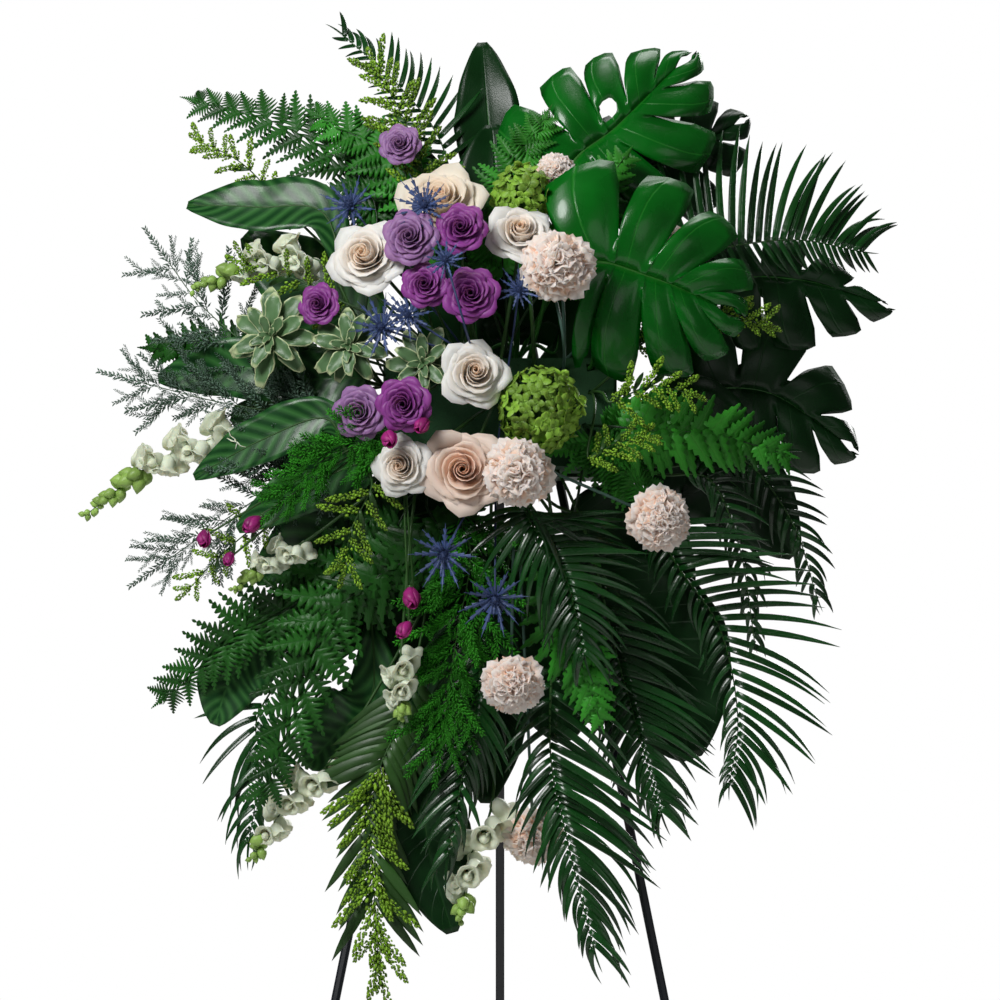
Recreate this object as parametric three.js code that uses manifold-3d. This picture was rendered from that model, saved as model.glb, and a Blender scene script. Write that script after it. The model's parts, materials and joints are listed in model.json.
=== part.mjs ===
// Standing funeral arrangement: a spray of flowers and foliage on a folding steel easel.
// Millimetres, +Z up, the front faces -Y, the origin is under the middle of the whole thing.
import * as THREE from "three";
import Module from "manifold-3d";

const wasm = await Module();
wasm.setup();

// Easel
const APEX_HEIGHT = 1490;
const LEAN = THREE.MathUtils.degToRad(8);
const SPLAY = THREE.MathUtils.degToRad(11.3);
const BACK_ANGLE = THREE.MathUtils.degToRad(22);
const ROD_R = 4.5;
const LEG_TOP_X = 12;
const HINGE_DROP = 14;
const HINGE_BACK = 17;
const PIN_R = 3;
const CAP_R = 8;
const CAP_LENGTH = 24;
const GAP = 0.3;

// Foam brick and its tray, fixed to the front of the easel
const FOAM_W = 230;
const FOAM_H = 110;
const FOAM_D = 80;
const FOAM_DROP = 188;
const TRAY_WALL = 3;
const TRAY_DEPTH = 26;
const FOAM_W0 = -(ROD_R + GAP + TRAY_WALL + GAP + FOAM_D / 2);

// Spray: points are given across and down in mm from the upper left corner of its front view
const VIEW_X = 500;
const VIEW_Y = 417;
const LAYER = 14;
const MIDDLE_X = 495;
const MIDDLE_Y = 169;

// Half thickness of the stems, and how slim a branch starts inside the first stem of its bunch
const SLIM = 0.4;
const STEM = {
  monstera: 2.3, leaf: 1.9, palm: 1.7, fern: 1.4, asparagus: 1.2, goldenrod: 1.4, snapdragon: 1.7, holly: 1.1,
  rosette: 1.5, hydrangea: 2, rose_stems: 1.9, carnation_stems: 1.6, back_carnation: 1.6, spray_rose: 1.4,
  bud: 1.1,
};

const V = (x, y, z) => new THREE.Vector3(x, y, z);
const rad = THREE.MathUtils.degToRad;

// A repeatable random sequence
function dice(seed) {
  let s = seed;
  return () => {
    s = (s * 1103515245 + 12345) % 2147483648;
    return s / 2147483648;
  };
}

// Solids
function solidFrom(points, faces) {
  const vertProperties = new Float32Array(points.length * 3);
  points.forEach((p, i) => vertProperties.set([p.x, p.y, p.z], i * 3));
  const make = (list) =>
    new wasm.Manifold(new wasm.Mesh({ numProp: 3, vertProperties, triVerts: new Uint32Array(list.flat()) }));
  const solid = make(faces);
  return solid.volume() > 0 ? solid : make(faces.map(([a, b, c]) => [a, c, b]));
}

function solidOf(geometry) {
  const at = geometry.getAttribute("position");
  const corner = geometry.index ? geometry.index.array : [...Array(at.count).keys()];
  const points = [];
  const seen = new Map();
  const ids = Array.from(corner, (i) => {
    const p = V(at.getX(i), at.getY(i), at.getZ(i));
    const key = [p.x, p.y, p.z].map((c) => Math.round(c * 1e4)).join();
    if (!seen.has(key)) {
      seen.set(key, points.length);
      points.push(p);
    }
    return seen.get(key);
  });
  const faces = [];
  for (let i = 0; i < ids.length; i += 3) {
    const [a, b, c] = ids.slice(i, i + 3);
    if (a !== b && b !== c && c !== a) faces.push([a, b, c]);
  }
  return solidFrom(points, faces);
}

// One body: joined, with loose scraps dropped and sealed hollows filled
function fuse(solids) {
  const bodies = solids.reduce((a, b) => a.add(b)).simplify(0.005).decompose();
  return bodies.reduce((a, b) => (b.volume() > a.volume() ? b : a));
}

// A thin sheet: each point has a half thickness, and both faces are split alike
class Sheet {
  constructor() {
    this.top = [];
    this.low = [];
    this.faces = [];
  }
  point(p, n, half) {
    this.top.push(p.clone().addScaledVector(n, half));
    this.low.push(p.clone().addScaledVector(n, -half));
    return this.top.length - 1;
  }
  face(a, b, c) {
    this.faces.push([a, b, c]);
  }
  polygon(ids, n) {
    const x = V(1, 0, 0).addScaledVector(n, -n.x);
    if (x.length() < 0.3) x.set(0, 0, 1).addScaledVector(n, -n.z);
    x.normalize();
    const y = n.clone().cross(x);
    const flat = ids.map((i) => new THREE.Vector2(this.top[i].dot(x), this.top[i].dot(y)));
    const turn = THREE.ShapeUtils.area(flat) > 0;
    THREE.ShapeUtils.triangulateShape(flat, []).forEach(([a, b, c]) => {
      const same = THREE.ShapeUtils.area([flat[a], flat[b], flat[c]]) > 0 === turn;
      this.face(ids[a], ids[same ? b : c], ids[same ? c : b]);
    });
  }
  solid() {
    const n = this.top.length;
    const faces = [];
    const edges = new Set();
    this.faces.forEach(([a, b, c]) => {
      faces.push([a, b, c], [a + n, c + n, b + n]);
      [[a, b], [b, c], [c, a]].forEach(([p, q]) => edges.add(p + "," + q));
    });
    edges.forEach((edge) => {
      const [a, b] = edge.split(",").map(Number);
      if (!edges.has(b + "," + a)) faces.push([b, a, a + n], [b, a + n, b + n]);
    });
    return solidFrom([...this.top, ...this.low], faces);
  }
}

// A closed skin through rings of points, with a pole or a flat end at each side
function skin(rings) {
  const points = rings.flat();
  const start = [];
  rings.reduce((sum, ring) => (start.push(sum), sum + ring.length), 0);
  const faces = [];
  for (let k = 0; k + 1 < rings.length; k++) {
    const [a, b] = [rings[k].length, rings[k + 1].length];
    const n = Math.max(a, b);
    for (let i = 0; i < n; i++) {
      const j = (i + 1) % n;
      const [p, q] = a === 1 ? [start[k], start[k]] : [start[k] + i, start[k] + j];
      const [r, s] = b === 1 ? [start[k + 1], start[k + 1]] : [start[k + 1] + i, start[k + 1] + j];
      if (a > 1) faces.push([p, q, b === 1 ? r : s]);
      if (b > 1) faces.push([p, s, r]);
    }
  }
  [0, rings.length - 1].forEach((k) => {
    const n = rings[k].length;
    for (let i = 1; i + 1 < n; i++) {
      const [a, b, c] = [start[k], start[k] + i, start[k] + i + 1];
      faces.push(k === 0 ? [a, c, b] : [a, b, c]);
    }
  });
  return solidFrom(points, faces);
}

// The place of a point of the front view, in a layer counted from the back
function spot([x, y], layer) {
  const across = x - VIEW_X;
  const up = VIEW_Y - y;
  const side = -110 * (across / 430) ** 2;
  const high = up > 0 ? -90 * (up / 400) ** 2 : 45 * (up / 570) ** 2;
  return V(across, -(LAYER * layer + side + high), up);
}

// A point given across, back and up in the leaning foam brick
function inFoam(u, w, v) {
  return V(u, w * Math.cos(LEAN) + v * Math.sin(LEAN), v * Math.cos(LEAN) - w * Math.sin(LEAN));
}

// Where stems enter the foam: from a side at an angle round it, in a layer from 0 to 6, or from its front
function socket([where, a, b]) {
  if (where === "front") return [inFoam(a * 0.85, -12, b * 0.85), inFoam(a, -FOAM_D / 2 - 1.5, b)];
  const c = Math.cos(rad(a));
  const s = Math.sin(rad(a));
  const reach = Math.min(FOAM_W / 2 / Math.abs(c), FOAM_H / 2 / Math.abs(s));
  const w = 8 - 7 * b;
  return [inFoam((reach - 30) * c, w, (reach - 30) * s), inFoam((reach + 1.5) * c, w, (reach + 1.5) * s)];
}

// The run of a stem and its blade through the given points, from the foam to the tip
function route(from, points, layers) {
  const [root, mouth] = socket(from);
  const n = points.length - 1;
  const seen = points.map((p, i) => spot(p, layers[0] + ((layers[1] - layers[0]) * i) / Math.max(n, 1)));
  const out = mouth.clone().sub(root).normalize();
  const knee = mouth.clone().lerp(seen[0], 0.34).addScaledVector(out, from[0] === "front" ? 10 : 16);
  const shell = spot([knee.x + VIEW_X, VIEW_Y - knee.z], layers[0]).y;
  knee.y += (shell - knee.y) * (from[0] === "front" ? from[4] || 0.55 : 0.8);
  if (from[0] === "front") knee.y = Math.min(knee.y, mouth.y - 12);
  return { root, mouth, curve: [mouth, knee, ...seen], branch: from[3] };
}

// Stations along a route: the straight root, the stem, then the blade in even steps
function stations(run, bladeSteps, facing) {
  const curve = new THREE.CatmullRomCurve3([run.root, ...run.curve], false, "catmullrom", 0.5);
  const last = run.curve.length;
  const at = (t) => ({ p: curve.getPoint(t), t: curve.getTangent(t) });
  const straight = run.mouth.clone().sub(run.root).normalize();
  const list = [run.root, run.mouth].map((p) => ({ p: p.clone(), t: straight.clone() }));
  list.push(at(2 / last), at(3 / last));
  const base = 3;
  for (let i = 1; i <= bladeSteps; i++) list.push(at((3 + ((last - 3) * i) / bladeSteps) / last));
  let n = facing.clone();
  const turn = (s) => {
    n = n.clone().addScaledVector(s.t, -n.dot(s.t)).normalize();
    s.n = n;
    s.s = s.t.clone().cross(n);
  };
  for (let i = base; i < list.length; i++) turn(list[i]);
  n = list[base].n;
  for (let i = base - 1; i >= 0; i--) turn(list[i]);
  return run.branch ? { list: list.slice(1), base: base - 1 } : { list, base };
}

// Lobe outlines: how far out along the lobe, and how far across it
const OUTLINES = {
  plain: [[1, 0.5]],
  lance: [[0.4, 0.08], [1, 0.5], [0.35, 0.92]],
  toothed: [[0.46, 0.02], [0.56, 0.36], [1, 0.5], [0.5, 0.97]],
  split: [[0.5, 0.1], [0.86, 0.14], [1, 0.45], [0.9, 0.82], [0.5, 0.9]],
  cut: [[0.5, 0.1], [0.94, 0.28], [0.94, 0.74], [0.5, 0.9]],
};

// A stem that opens into a rib with lobes on both sides
function blade(run, o) {
  const facing = V(0, -1, 0).applyAxisAngle(V(0, 0, 1), rad(o.yaw || 0));
  facing.applyAxisAngle(V(1, 0, 0), rad(o.pitch || 0));
  const { list, base } = stations(run, o.n, facing);
  const sheet = new Sheet();
  const rows = list.map((st, i) => {
    const s = Math.max(0, i - base) / o.n;
    const onBlade = i >= base;
    const w = onBlade ? o.web(s) : o.stem * (run.branch && i === 0 ? SLIM : 1);
    const slim = run.branch && i === 0 ? SLIM : 1;
    const half = onBlade ? o.thick * (1 - 0.6 * s) + 0.25 : o.stem * slim;
    if (i === list.length - 1) {
      const tip = sheet.point(st.p, st.n, 0.35);
      return { st, s, ids: [tip, tip, tip] };
    }
    const edge = (side) => {
      const p = st.p.clone().addScaledVector(st.s, side * w);
      if (onBlade) p.addScaledVector(st.n, (o.fold || 0) * w);
      return sheet.point(p, st.n, onBlade && o.ribbed ? 0.45 : half);
    };
    const ids = [edge(-1), 0, edge(1)];
    ids[1] = o.ribbed && onBlade ? sheet.point(st.p, st.n, half) : -1;
    return { st, s, ids };
  });
  for (let i = 0; i + 1 < rows.length; i++) {
    const [[al, ac, ar], [bl, bc, br]] = [rows[i].ids, rows[i + 1].ids];
    if (ac < 0 && bc < 0) {
      sheet.face(al, ar, br);
      sheet.face(al, br, bl);
    } else if (ac < 0) {
      sheet.face(al, ar, bc);
      if (bl !== bc) sheet.face(al, bc, bl);
      if (br !== bc) sheet.face(ar, br, bc);
    } else {
      sheet.face(al, ac, bc);
      sheet.face(ac, ar, br);
      if (bl !== bc) sheet.face(al, bc, bl);
      if (br !== bc) sheet.face(ac, br, bc);
    }
  }
  const random = dice(o.seed || 7);
  for (let i = base; i + 1 < rows.length; i++) {
    [-1, 1].forEach((side) => {
      const make = side < 0 ? o.left : o.right;
      if (!make) return;
      const [a, b] = [rows[i], rows[i + 1]];
      const outline = OUTLINES[(i + 2 === rows.length && o.lastLobe) || o.outline];
      const k = side < 0 ? 0 : 2;
      const ray = (row) => {
        const [length, angle] = make(row.s);
        const d = row.st.t.clone().multiplyScalar(Math.cos(rad(angle)));
        return { length, d: d.addScaledVector(row.st.s, side * Math.sin(rad(angle))) };
      };
      const [ra, rb] = [ray(a), ray(b)];
      const vary = 1 + (o.vary || 0) * (random() - 0.5);
      const [ea, eb] = [rows[i].ids[k], rows[i + 1].ids[k]].map((id) =>
        sheet.top[id].clone().add(sheet.low[id]).multiplyScalar(0.5));
      const n = a.st.n.clone().add(b.st.n).normalize();
      const pts = outline.map(([out, across]) => {
        const pa = ea.clone().addScaledVector(ra.d, ra.length * out * vary);
        const pb = eb.clone().addScaledVector(rb.d, rb.length * out * vary);
        const length = ra.length + (rb.length - ra.length) * across;
        const lift = length * out * ((o.fold || 0) - (o.drop || 0) * out);
        return sheet.point(pa.lerp(pb, across).addScaledVector(n, lift), n, 0.4);
      });
      const loop = [a.ids[k], ...pts, b.ids[k]];
      sheet.polygon(side < 0 ? loop.reverse() : loop, n);
    });
  }
  return sheet.solid();
}

const lerp = (a, b, s) => a + (b - a) * s;
const swell = (s) => 0.5 + 0.5 * Math.sin(Math.PI * Math.min(1, 0.18 + s * 0.92));

// Palm frond: left and right leaflet lengths, their angle to the rib at the foot and at the tip
function palm(from, [points, layers, left, right, angles, n, drop], seed) {
  const side = (size) => (s) => [size * swell(s), lerp(angles[0], angles[1], s)];
  return blade(route(from, points, layers), {
    n, stem: STEM.palm, thick: 1.2, web: (s) => lerp(1.8, 0.6, s), outline: "plain",
    left: side(left), right: side(right), fold: 0.05, drop: drop || 0.2, vary: 0.12, seed,
  });
}

// Fern frond: toothed pinnae that shorten to the tip
function fern(from, [points, layers, size, n, outline], seed) {
  const side = (s) => [size * (1.02 - 0.75 * s * s - 0.2 * (1 - s) ** 3), lerp(72, 48, s)];
  return blade(route(from, points, layers), {
    n, stem: STEM.fern, thick: 0.9, web: (s) => lerp(1.5, 0.6, s), outline: outline || "toothed",
    left: side, right: side, fold: 0.04, drop: 0.14, vary: 0.08, seed,
  });
}

// Plain leaf with a folded rib and a waved edge
function leaf(from, [points, layers, width, n, yaw, wave], seed) {
  return blade(route(from, points, layers), {
    n: n || 6, stem: STEM.leaf, thick: 0.9, ribbed: true, fold: 0.16, yaw, outline: "plain", seed,
    web: (s) => Math.max(2.2, width * Math.sin(Math.PI * (0.1 + 0.86 * s)) ** 0.8 *
      (1 + (wave || 0.05) * Math.cos(s * 20))),
  });
}

// Split leaf: left and right lobe lengths, lobes fan from beside the stem to the tip
function monstera(from, [points, layers, left, right, n, yaw, pitch, outline], seed) {
  if (outline === "whole") return leaf(from, [points, layers, left, n, yaw, 0.03], seed);
  const side = (size) => (s) => [size * (0.78 + 0.3 * Math.sin(Math.PI * s ** 0.8)) * (1 - 0.72 * s ** 3),
    lerp(128, 22, s)];
  return blade(route(from, points, layers), {
    n, stem: STEM.monstera, thick: 1.1, ribbed: true, fold: 0.1, drop: 0.22, outline: outline || "cut",
    yaw, pitch, seed, left: side(left), right: side(right), vary: 0.06,
    web: (s) => 0.12 * (left + right) * (1 - s) + 2,
  });
}

// A three-sided stem along stations, slim at the start of a branch, and widened at its end to the flare
function shaft(list, half, flare, branch) {
  return skin(list.map((st, i) => {
    const w = i === list.length - 1 && flare ? flare : half * (branch && i === 0 ? SLIM : 1);
    return [[-1.2, -0.7], [1.2, -0.7], [0, 1.4]].map(([a, b]) =>
      st.p.clone().addScaledVector(st.s, a * w).addScaledVector(st.n, b * w));
  }));
}

// A frame whose third axis is the given direction
function frameAt(p, axis, roll) {
  const z = axis.clone().normalize();
  const x = V(0, 0, 1).cross(z).lengthSq() > 0.01 ? V(0, 0, 1).cross(z).normalize() : V(1, 0, 0);
  const y = z.clone().cross(x);
  const c = Math.cos(roll || 0);
  const s = Math.sin(roll || 0);
  return (r, angle, h) => {
    const [u, v] = [r * Math.cos(angle), r * Math.sin(angle)];
    const q = p.clone().addScaledVector(x, u * c - v * s).addScaledVector(y, u * s + v * c);
    return q.addScaledVector(z, h);
  };
}

// Blooms look outward from the middle of the spray
function outward(p, tilt) {
  const t = tilt || [0, 0];
  return V(p.x / 520 + t[0], -1, p.z / 620 + t[1]).normalize();
}

function rings(at, size, sides, profile) {
  return profile.map(([r, h, lobes, wave, turn, lift]) => {
    if (r === 0) return [at(0, 0, h * size)];
    return Array.from({ length: sides }, (_, i) => {
      const angle = (2 * Math.PI * i) / sides;
      const swing = wave ? wave * Math.cos(lobes * (angle - (turn || 0))) : 0;
      return at(r * size * (1 + swing), angle, (h + (lift || 0) * swing) * size);
    });
  });
}

// Rose: rows of petals round a closed middle, each row a lip above a groove
const ROSE = [
  [0.17, -0.55], [0.6, -0.36], [1, 0.02, 5, 0.09, 0, -0.9], [0.74, 0, 5, 0.05, 0.6],
  [0.72, 0.26, 5, 0.08, 0.63, -0.6], [0.46, 0.16], [0.42, 0.4, 3, 0.12, 0.2, -0.4], [0.2, 0.26], [0.13, 0.44],
];
const SMALL_ROSE = [
  [0.16, -0.6], [1, 0.08, 4, 0.1, 0, -0.8], [0.6, 0.08], [0.56, 0.36, 4, 0.1, 0.8, -0.5],
  [0.18, 0.3],
];
// Carnation: ruffled rows whose notched edges point in and out by turns
const CARNATION = [
  [0.16, -0.6], [0.66, -0.3], [1, 0.06, 6, 0.1, 0, 1.4], [0.8, 0.32, 6, 0.12, 0.52, 1.2],
  [0.52, 0.5, 6, 0.2, 0, 1], [0.2, 0.56, 3, 0.3, 0.4, 1],
];
const BUD = [[0.3, -1], [0.62, -0.1], [0, 1]];

function bloom(profile, sides, [x, y, layer, size, tilt, roll]) {
  const p = spot([x, y], layer);
  return skin(rings(frameAt(p, outward(p, tilt), roll), size, sides, profile));
}

// The stem that carries a bloom ends a little below its base, or inside it
function bloomStem(from, [x, y, layer, size, tilt], low, half, flare) {
  const p = spot([x, y], layer);
  const axis = outward(p, tilt);
  const end = p.clone().addScaledVector(axis, low * size - (flare ? GAP + 0.1 : -2));
  const neck = end.clone().addScaledVector(axis, -Math.min(26, size * 0.7));
  const run = route(from, [[neck.x + VIEW_X, VIEW_Y - neck.z]], [layer, layer]);
  const knee = run.curve[1];
  const straight = run.mouth.clone().sub(run.root).normalize();
  const list = [
    { p: run.root, t: straight },
    { p: run.mouth, t: straight.clone() },
    { p: knee, t: neck.clone().sub(run.mouth).normalize() },
    { p: neck, t: axis.clone().add(neck.clone().sub(knee).normalize()).normalize() },
    { p: end, t: axis.clone() },
  ];
  let n = V(0.3, 0.2, 1).cross(straight).normalize();
  list.forEach((st) => {
    n = n.clone().addScaledVector(st.t, -n.dot(st.t)).normalize();
    st.n = n;
    st.s = st.t.clone().cross(n);
  });
  return shaft(run.branch ? list.slice(1) : list, half, flare, run.branch);
}

// The frame halfway between two stations
function between(a, b) {
  const mean = (k) => a[k].clone().add(b[k]).normalize();
  return { p: a.p.clone().lerp(b.p, 0.5), t: mean("t"), n: mean("n"), s: mean("s") };
}

// Goldenrod: plumes of small heads along a bent stem
const PLUME = [[0, 0.5], [0.32, 4.8], [0.54, 1.5], [0.76, 4], [1, 0]];
function goldenrod(from, [points, layers, plumes, reach, spread], seed) {
  const random = dice(seed);
  const run = route(from, points, layers);
  const { list, base } = stations(run, plumes, V(0, -1, 0));
  const parts = [shaft(list, STEM.goldenrod, 0, run.branch)];
  for (let i = base; i < list.length; i++) {
    const st = i === list.length - 1 ? list[i] : between(list[i], list[i + 1]);
    const s = (i - base) / plumes;
    const side = i % 2 ? 1 : -1;
    const a = rad(i === list.length - 1 ? 0 : (spread || 48) - 12 * s);
    const length = reach * (1 - 0.35 * s) * (0.85 + 0.3 * random());
    const dir = st.t.clone().multiplyScalar(Math.cos(a)).addScaledVector(st.s, side * Math.sin(a));
    const plume = PLUME.map(([t, r], j) => {
      const p = st.p.clone().addScaledVector(dir, length * t - 1);
      p.addScaledVector(st.n, 0.25 * length * t * t);
      const at = frameAt(p, dir, j);
      return r ? [0, 1, 2].map((q) => at(r, (q * 2 * Math.PI) / 3, 0)) : [at(0, 0, 0)];
    });
    parts.push(skin(plume));
  }
  return fuse(parts);
}

// Asparagus: side branches with needles, each branch a thin comb
function asparagus(from, [points, layers, branches, reach, needle], seed) {
  const random = dice(seed);
  const run = route(from, points, layers);
  const { list, base } = stations(run, branches, V(0, -1, 0));
  const parts = [shaft(list, STEM.asparagus, 0, run.branch)];
  for (let i = base; i < list.length; i++) {
    const st = i === list.length - 1 ? list[i] : between(list[i], list[i + 1]);
    const s = (i - base) / branches;
    const side = i % 2 ? 1 : -1;
    const a = rad(i === list.length - 1 ? 0 : 42 - 8 * s + 8 * random());
    const dir = st.t.clone().multiplyScalar(Math.cos(a)).addScaledVector(st.s, side * Math.sin(a));
    const length = reach * (1 - 0.4 * s) * (0.9 + 0.3 * random());
    const across = dir.clone().cross(st.n).normalize();
    const sheet = new Sheet();
    const pairs = 2;
    const place = (t) =>
      st.p.clone().addScaledVector(dir, length * t - 1).addScaledVector(st.n, 0.1 * length * t * t);
    const cuts = [0];
    for (let j = 0; j < pairs; j++) cuts.push((j + 0.9) / (pairs + 0.6), (j + 1.08) / (pairs + 0.6));
    const rows = cuts.map((t) =>
      [-1, 1].map((k) => sheet.point(place(t).addScaledVector(across, k * (0.8 - 0.4 * t)), st.n, 0.5)));
    for (let j = 0; j + 1 < rows.length; j++) {
      const [[l0, r0], [l1, r1]] = [rows[j], rows[j + 1]];
      sheet.face(l0, r0, r1);
      sheet.face(l0, r1, l1);
      if (j % 2 === 0) continue;
      [[l0, l1, -1], [r0, r1, 1]].forEach(([p, q, k]) => {
        const tip = sheet.top[p].clone().addScaledVector(st.n, -0.5)
          .addScaledVector(dir, needle * 0.75).addScaledVector(across, k * needle * 0.66);
        const id = sheet.point(tip, st.n, 0.32);
        sheet.face(k < 0 ? q : p, id, k < 0 ? p : q);
      });
    }
    const [l, r] = rows[rows.length - 1];
    sheet.face(l, r, sheet.point(place(1), st.n, 0.35));
    parts.push(sheet.solid());
  }
  return fuse(parts);
}

// Snapdragon: two-lipped florets round a stem, with closed buds to the tip
function snapdragon(from, [points, layers, florets, buds, size], seed) {
  const run = route(from, points, layers);
  const { list, base } = stations(run, 4, V(0, -1, 0));
  const parts = [shaft(list, STEM.snapdragon, 0, run.branch)];
  const all = florets + buds;
  for (let i = 0; i < all; i++) {
    const s = ((i + 0.4) / all) * (list.length - 1 - base);
    const [a, b] = [list[base + Math.floor(s)], list[base + Math.floor(s) + 1]];
    const p = a.p.clone().lerp(b.p, s % 1);
    const t = b.p.clone().sub(a.p).normalize();
    const open = i < florets;
    const around = V(0, -1, 0).addScaledVector(t, t.y).normalize();
    around.applyAxisAngle(t, ((i % 3) - 1) * 1.25 + 0.25 * Math.sin(seed + i * 2.3));
    const r = size * (open ? 1 - 0.3 * (i / all) : 0.42);
    const at = frameAt(p, around.addScaledVector(t, open ? 0.55 : 1), 0);
    const profile = open
      ? [[0.05, 0], [0.5, 0.6], [0.8, 1.25, 2, 0.25, 0, 0.4], [0, 0.95]]
      : [[0.1, 0], [0.75, 0.9], [0, 2]];
    parts.push(skin(rings(at, r, open ? 4 : 3, profile)));
  }
  return fuse(parts);
}

// Sea holly: a cone on a collar of spines, one closed skin for each head
function holly(from, [x, y, layer, size, spines, tilt]) {
  const p = spot([x, y], layer);
  const axis = outward(p, tilt);
  const at = frameAt(p, axis, x);
  const n = spines * 2;
  const ring = (r, h, spike, up) =>
    Array.from({ length: n }, (_, i) => {
      const long = r * spike * (1 + 0.15 * Math.sin(i * 2.1 + x));
      return at(i % 2 ? long : r, (i * 2 * Math.PI) / n, i % 2 ? h + up : h);
    });
  const head = skin([
    [at(0, 0, -size * 0.5)], ring(size * 0.5, -size * 0.1, 4.6, size * 0.8),
    ring(size * 0.56, size * 0.5, 0.8, 0), [at(0, 0, size * 1.6)],
  ]);
  return head.add(bloomStem(from, [x, y, layer, size, tilt], -0.5, STEM.holly, 0));
}

// Rosette of small oval leaves round the end of a stem: a wide star that steps up to a smaller, steeper one
function rosette(from, [x, y, layer, size, leaves, tilt]) {
  const at = frameAt(spot([x, y], layer), outward(spot([x, y], layer), tilt), x);
  const rim = (reach, foot, slope, turn) =>
    Array.from({ length: leaves * 4 }, (_, i) => {
      const [r, shift] = [[1, 0], [0.7, -0.5], [0.24, 0], [0.7, 0.5]][i % 4];
      return at(r * reach, ((i + shift) * Math.PI) / leaves / 2 + turn, foot + r * reach * slope);
    });
  const head = skin([
    [at(0, 0, -3)], rim(size, 0, 0.12, 0), rim(size, 0.8, 0.12, 0),
    rim(size * 0.62, 3, 0.6, 0.2), rim(size * 0.6, 4, 0.64, 0.2), [at(0, 0, 5)],
  ]);
  return head.add(bloomStem(from, [x, y, layer, 18, tilt], 0, STEM.rosette, 0));
}

// Hydrangea head: four-petalled florets standing out of a small core
function hydrangea(from, [x, y, layer, size, florets, floret], seed) {
  const p = spot([x, y], layer);
  const core = new THREE.IcosahedronGeometry(size * 0.84, 0).translate(p.x, p.y, p.z);
  const parts = [solidOf(core), bloomStem(from, [x, y, layer, size], -0.4, STEM.hydrangea, 0)];
  const axis = outward(p);
  for (let i = 0; i < florets; i++) {
    const h = 1 - (1.5 * (i + 0.5)) / florets;
    const a = i * 2.39996 + seed;
    const dir = frameAt(V(0, 0, 0), axis, 0)(Math.sqrt(1 - h * h), a, h);
    const at = frameAt(p.clone().addScaledVector(dir, size * 0.8), dir, i * 1.3);
    parts.push(skin(rings(at, floret, 8, [[0, -0.7], [0.74, 0.12, 4, 0.42, 0, 0.4], [0, 0.04]])));
  }
  return fuse(parts);
}

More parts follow.
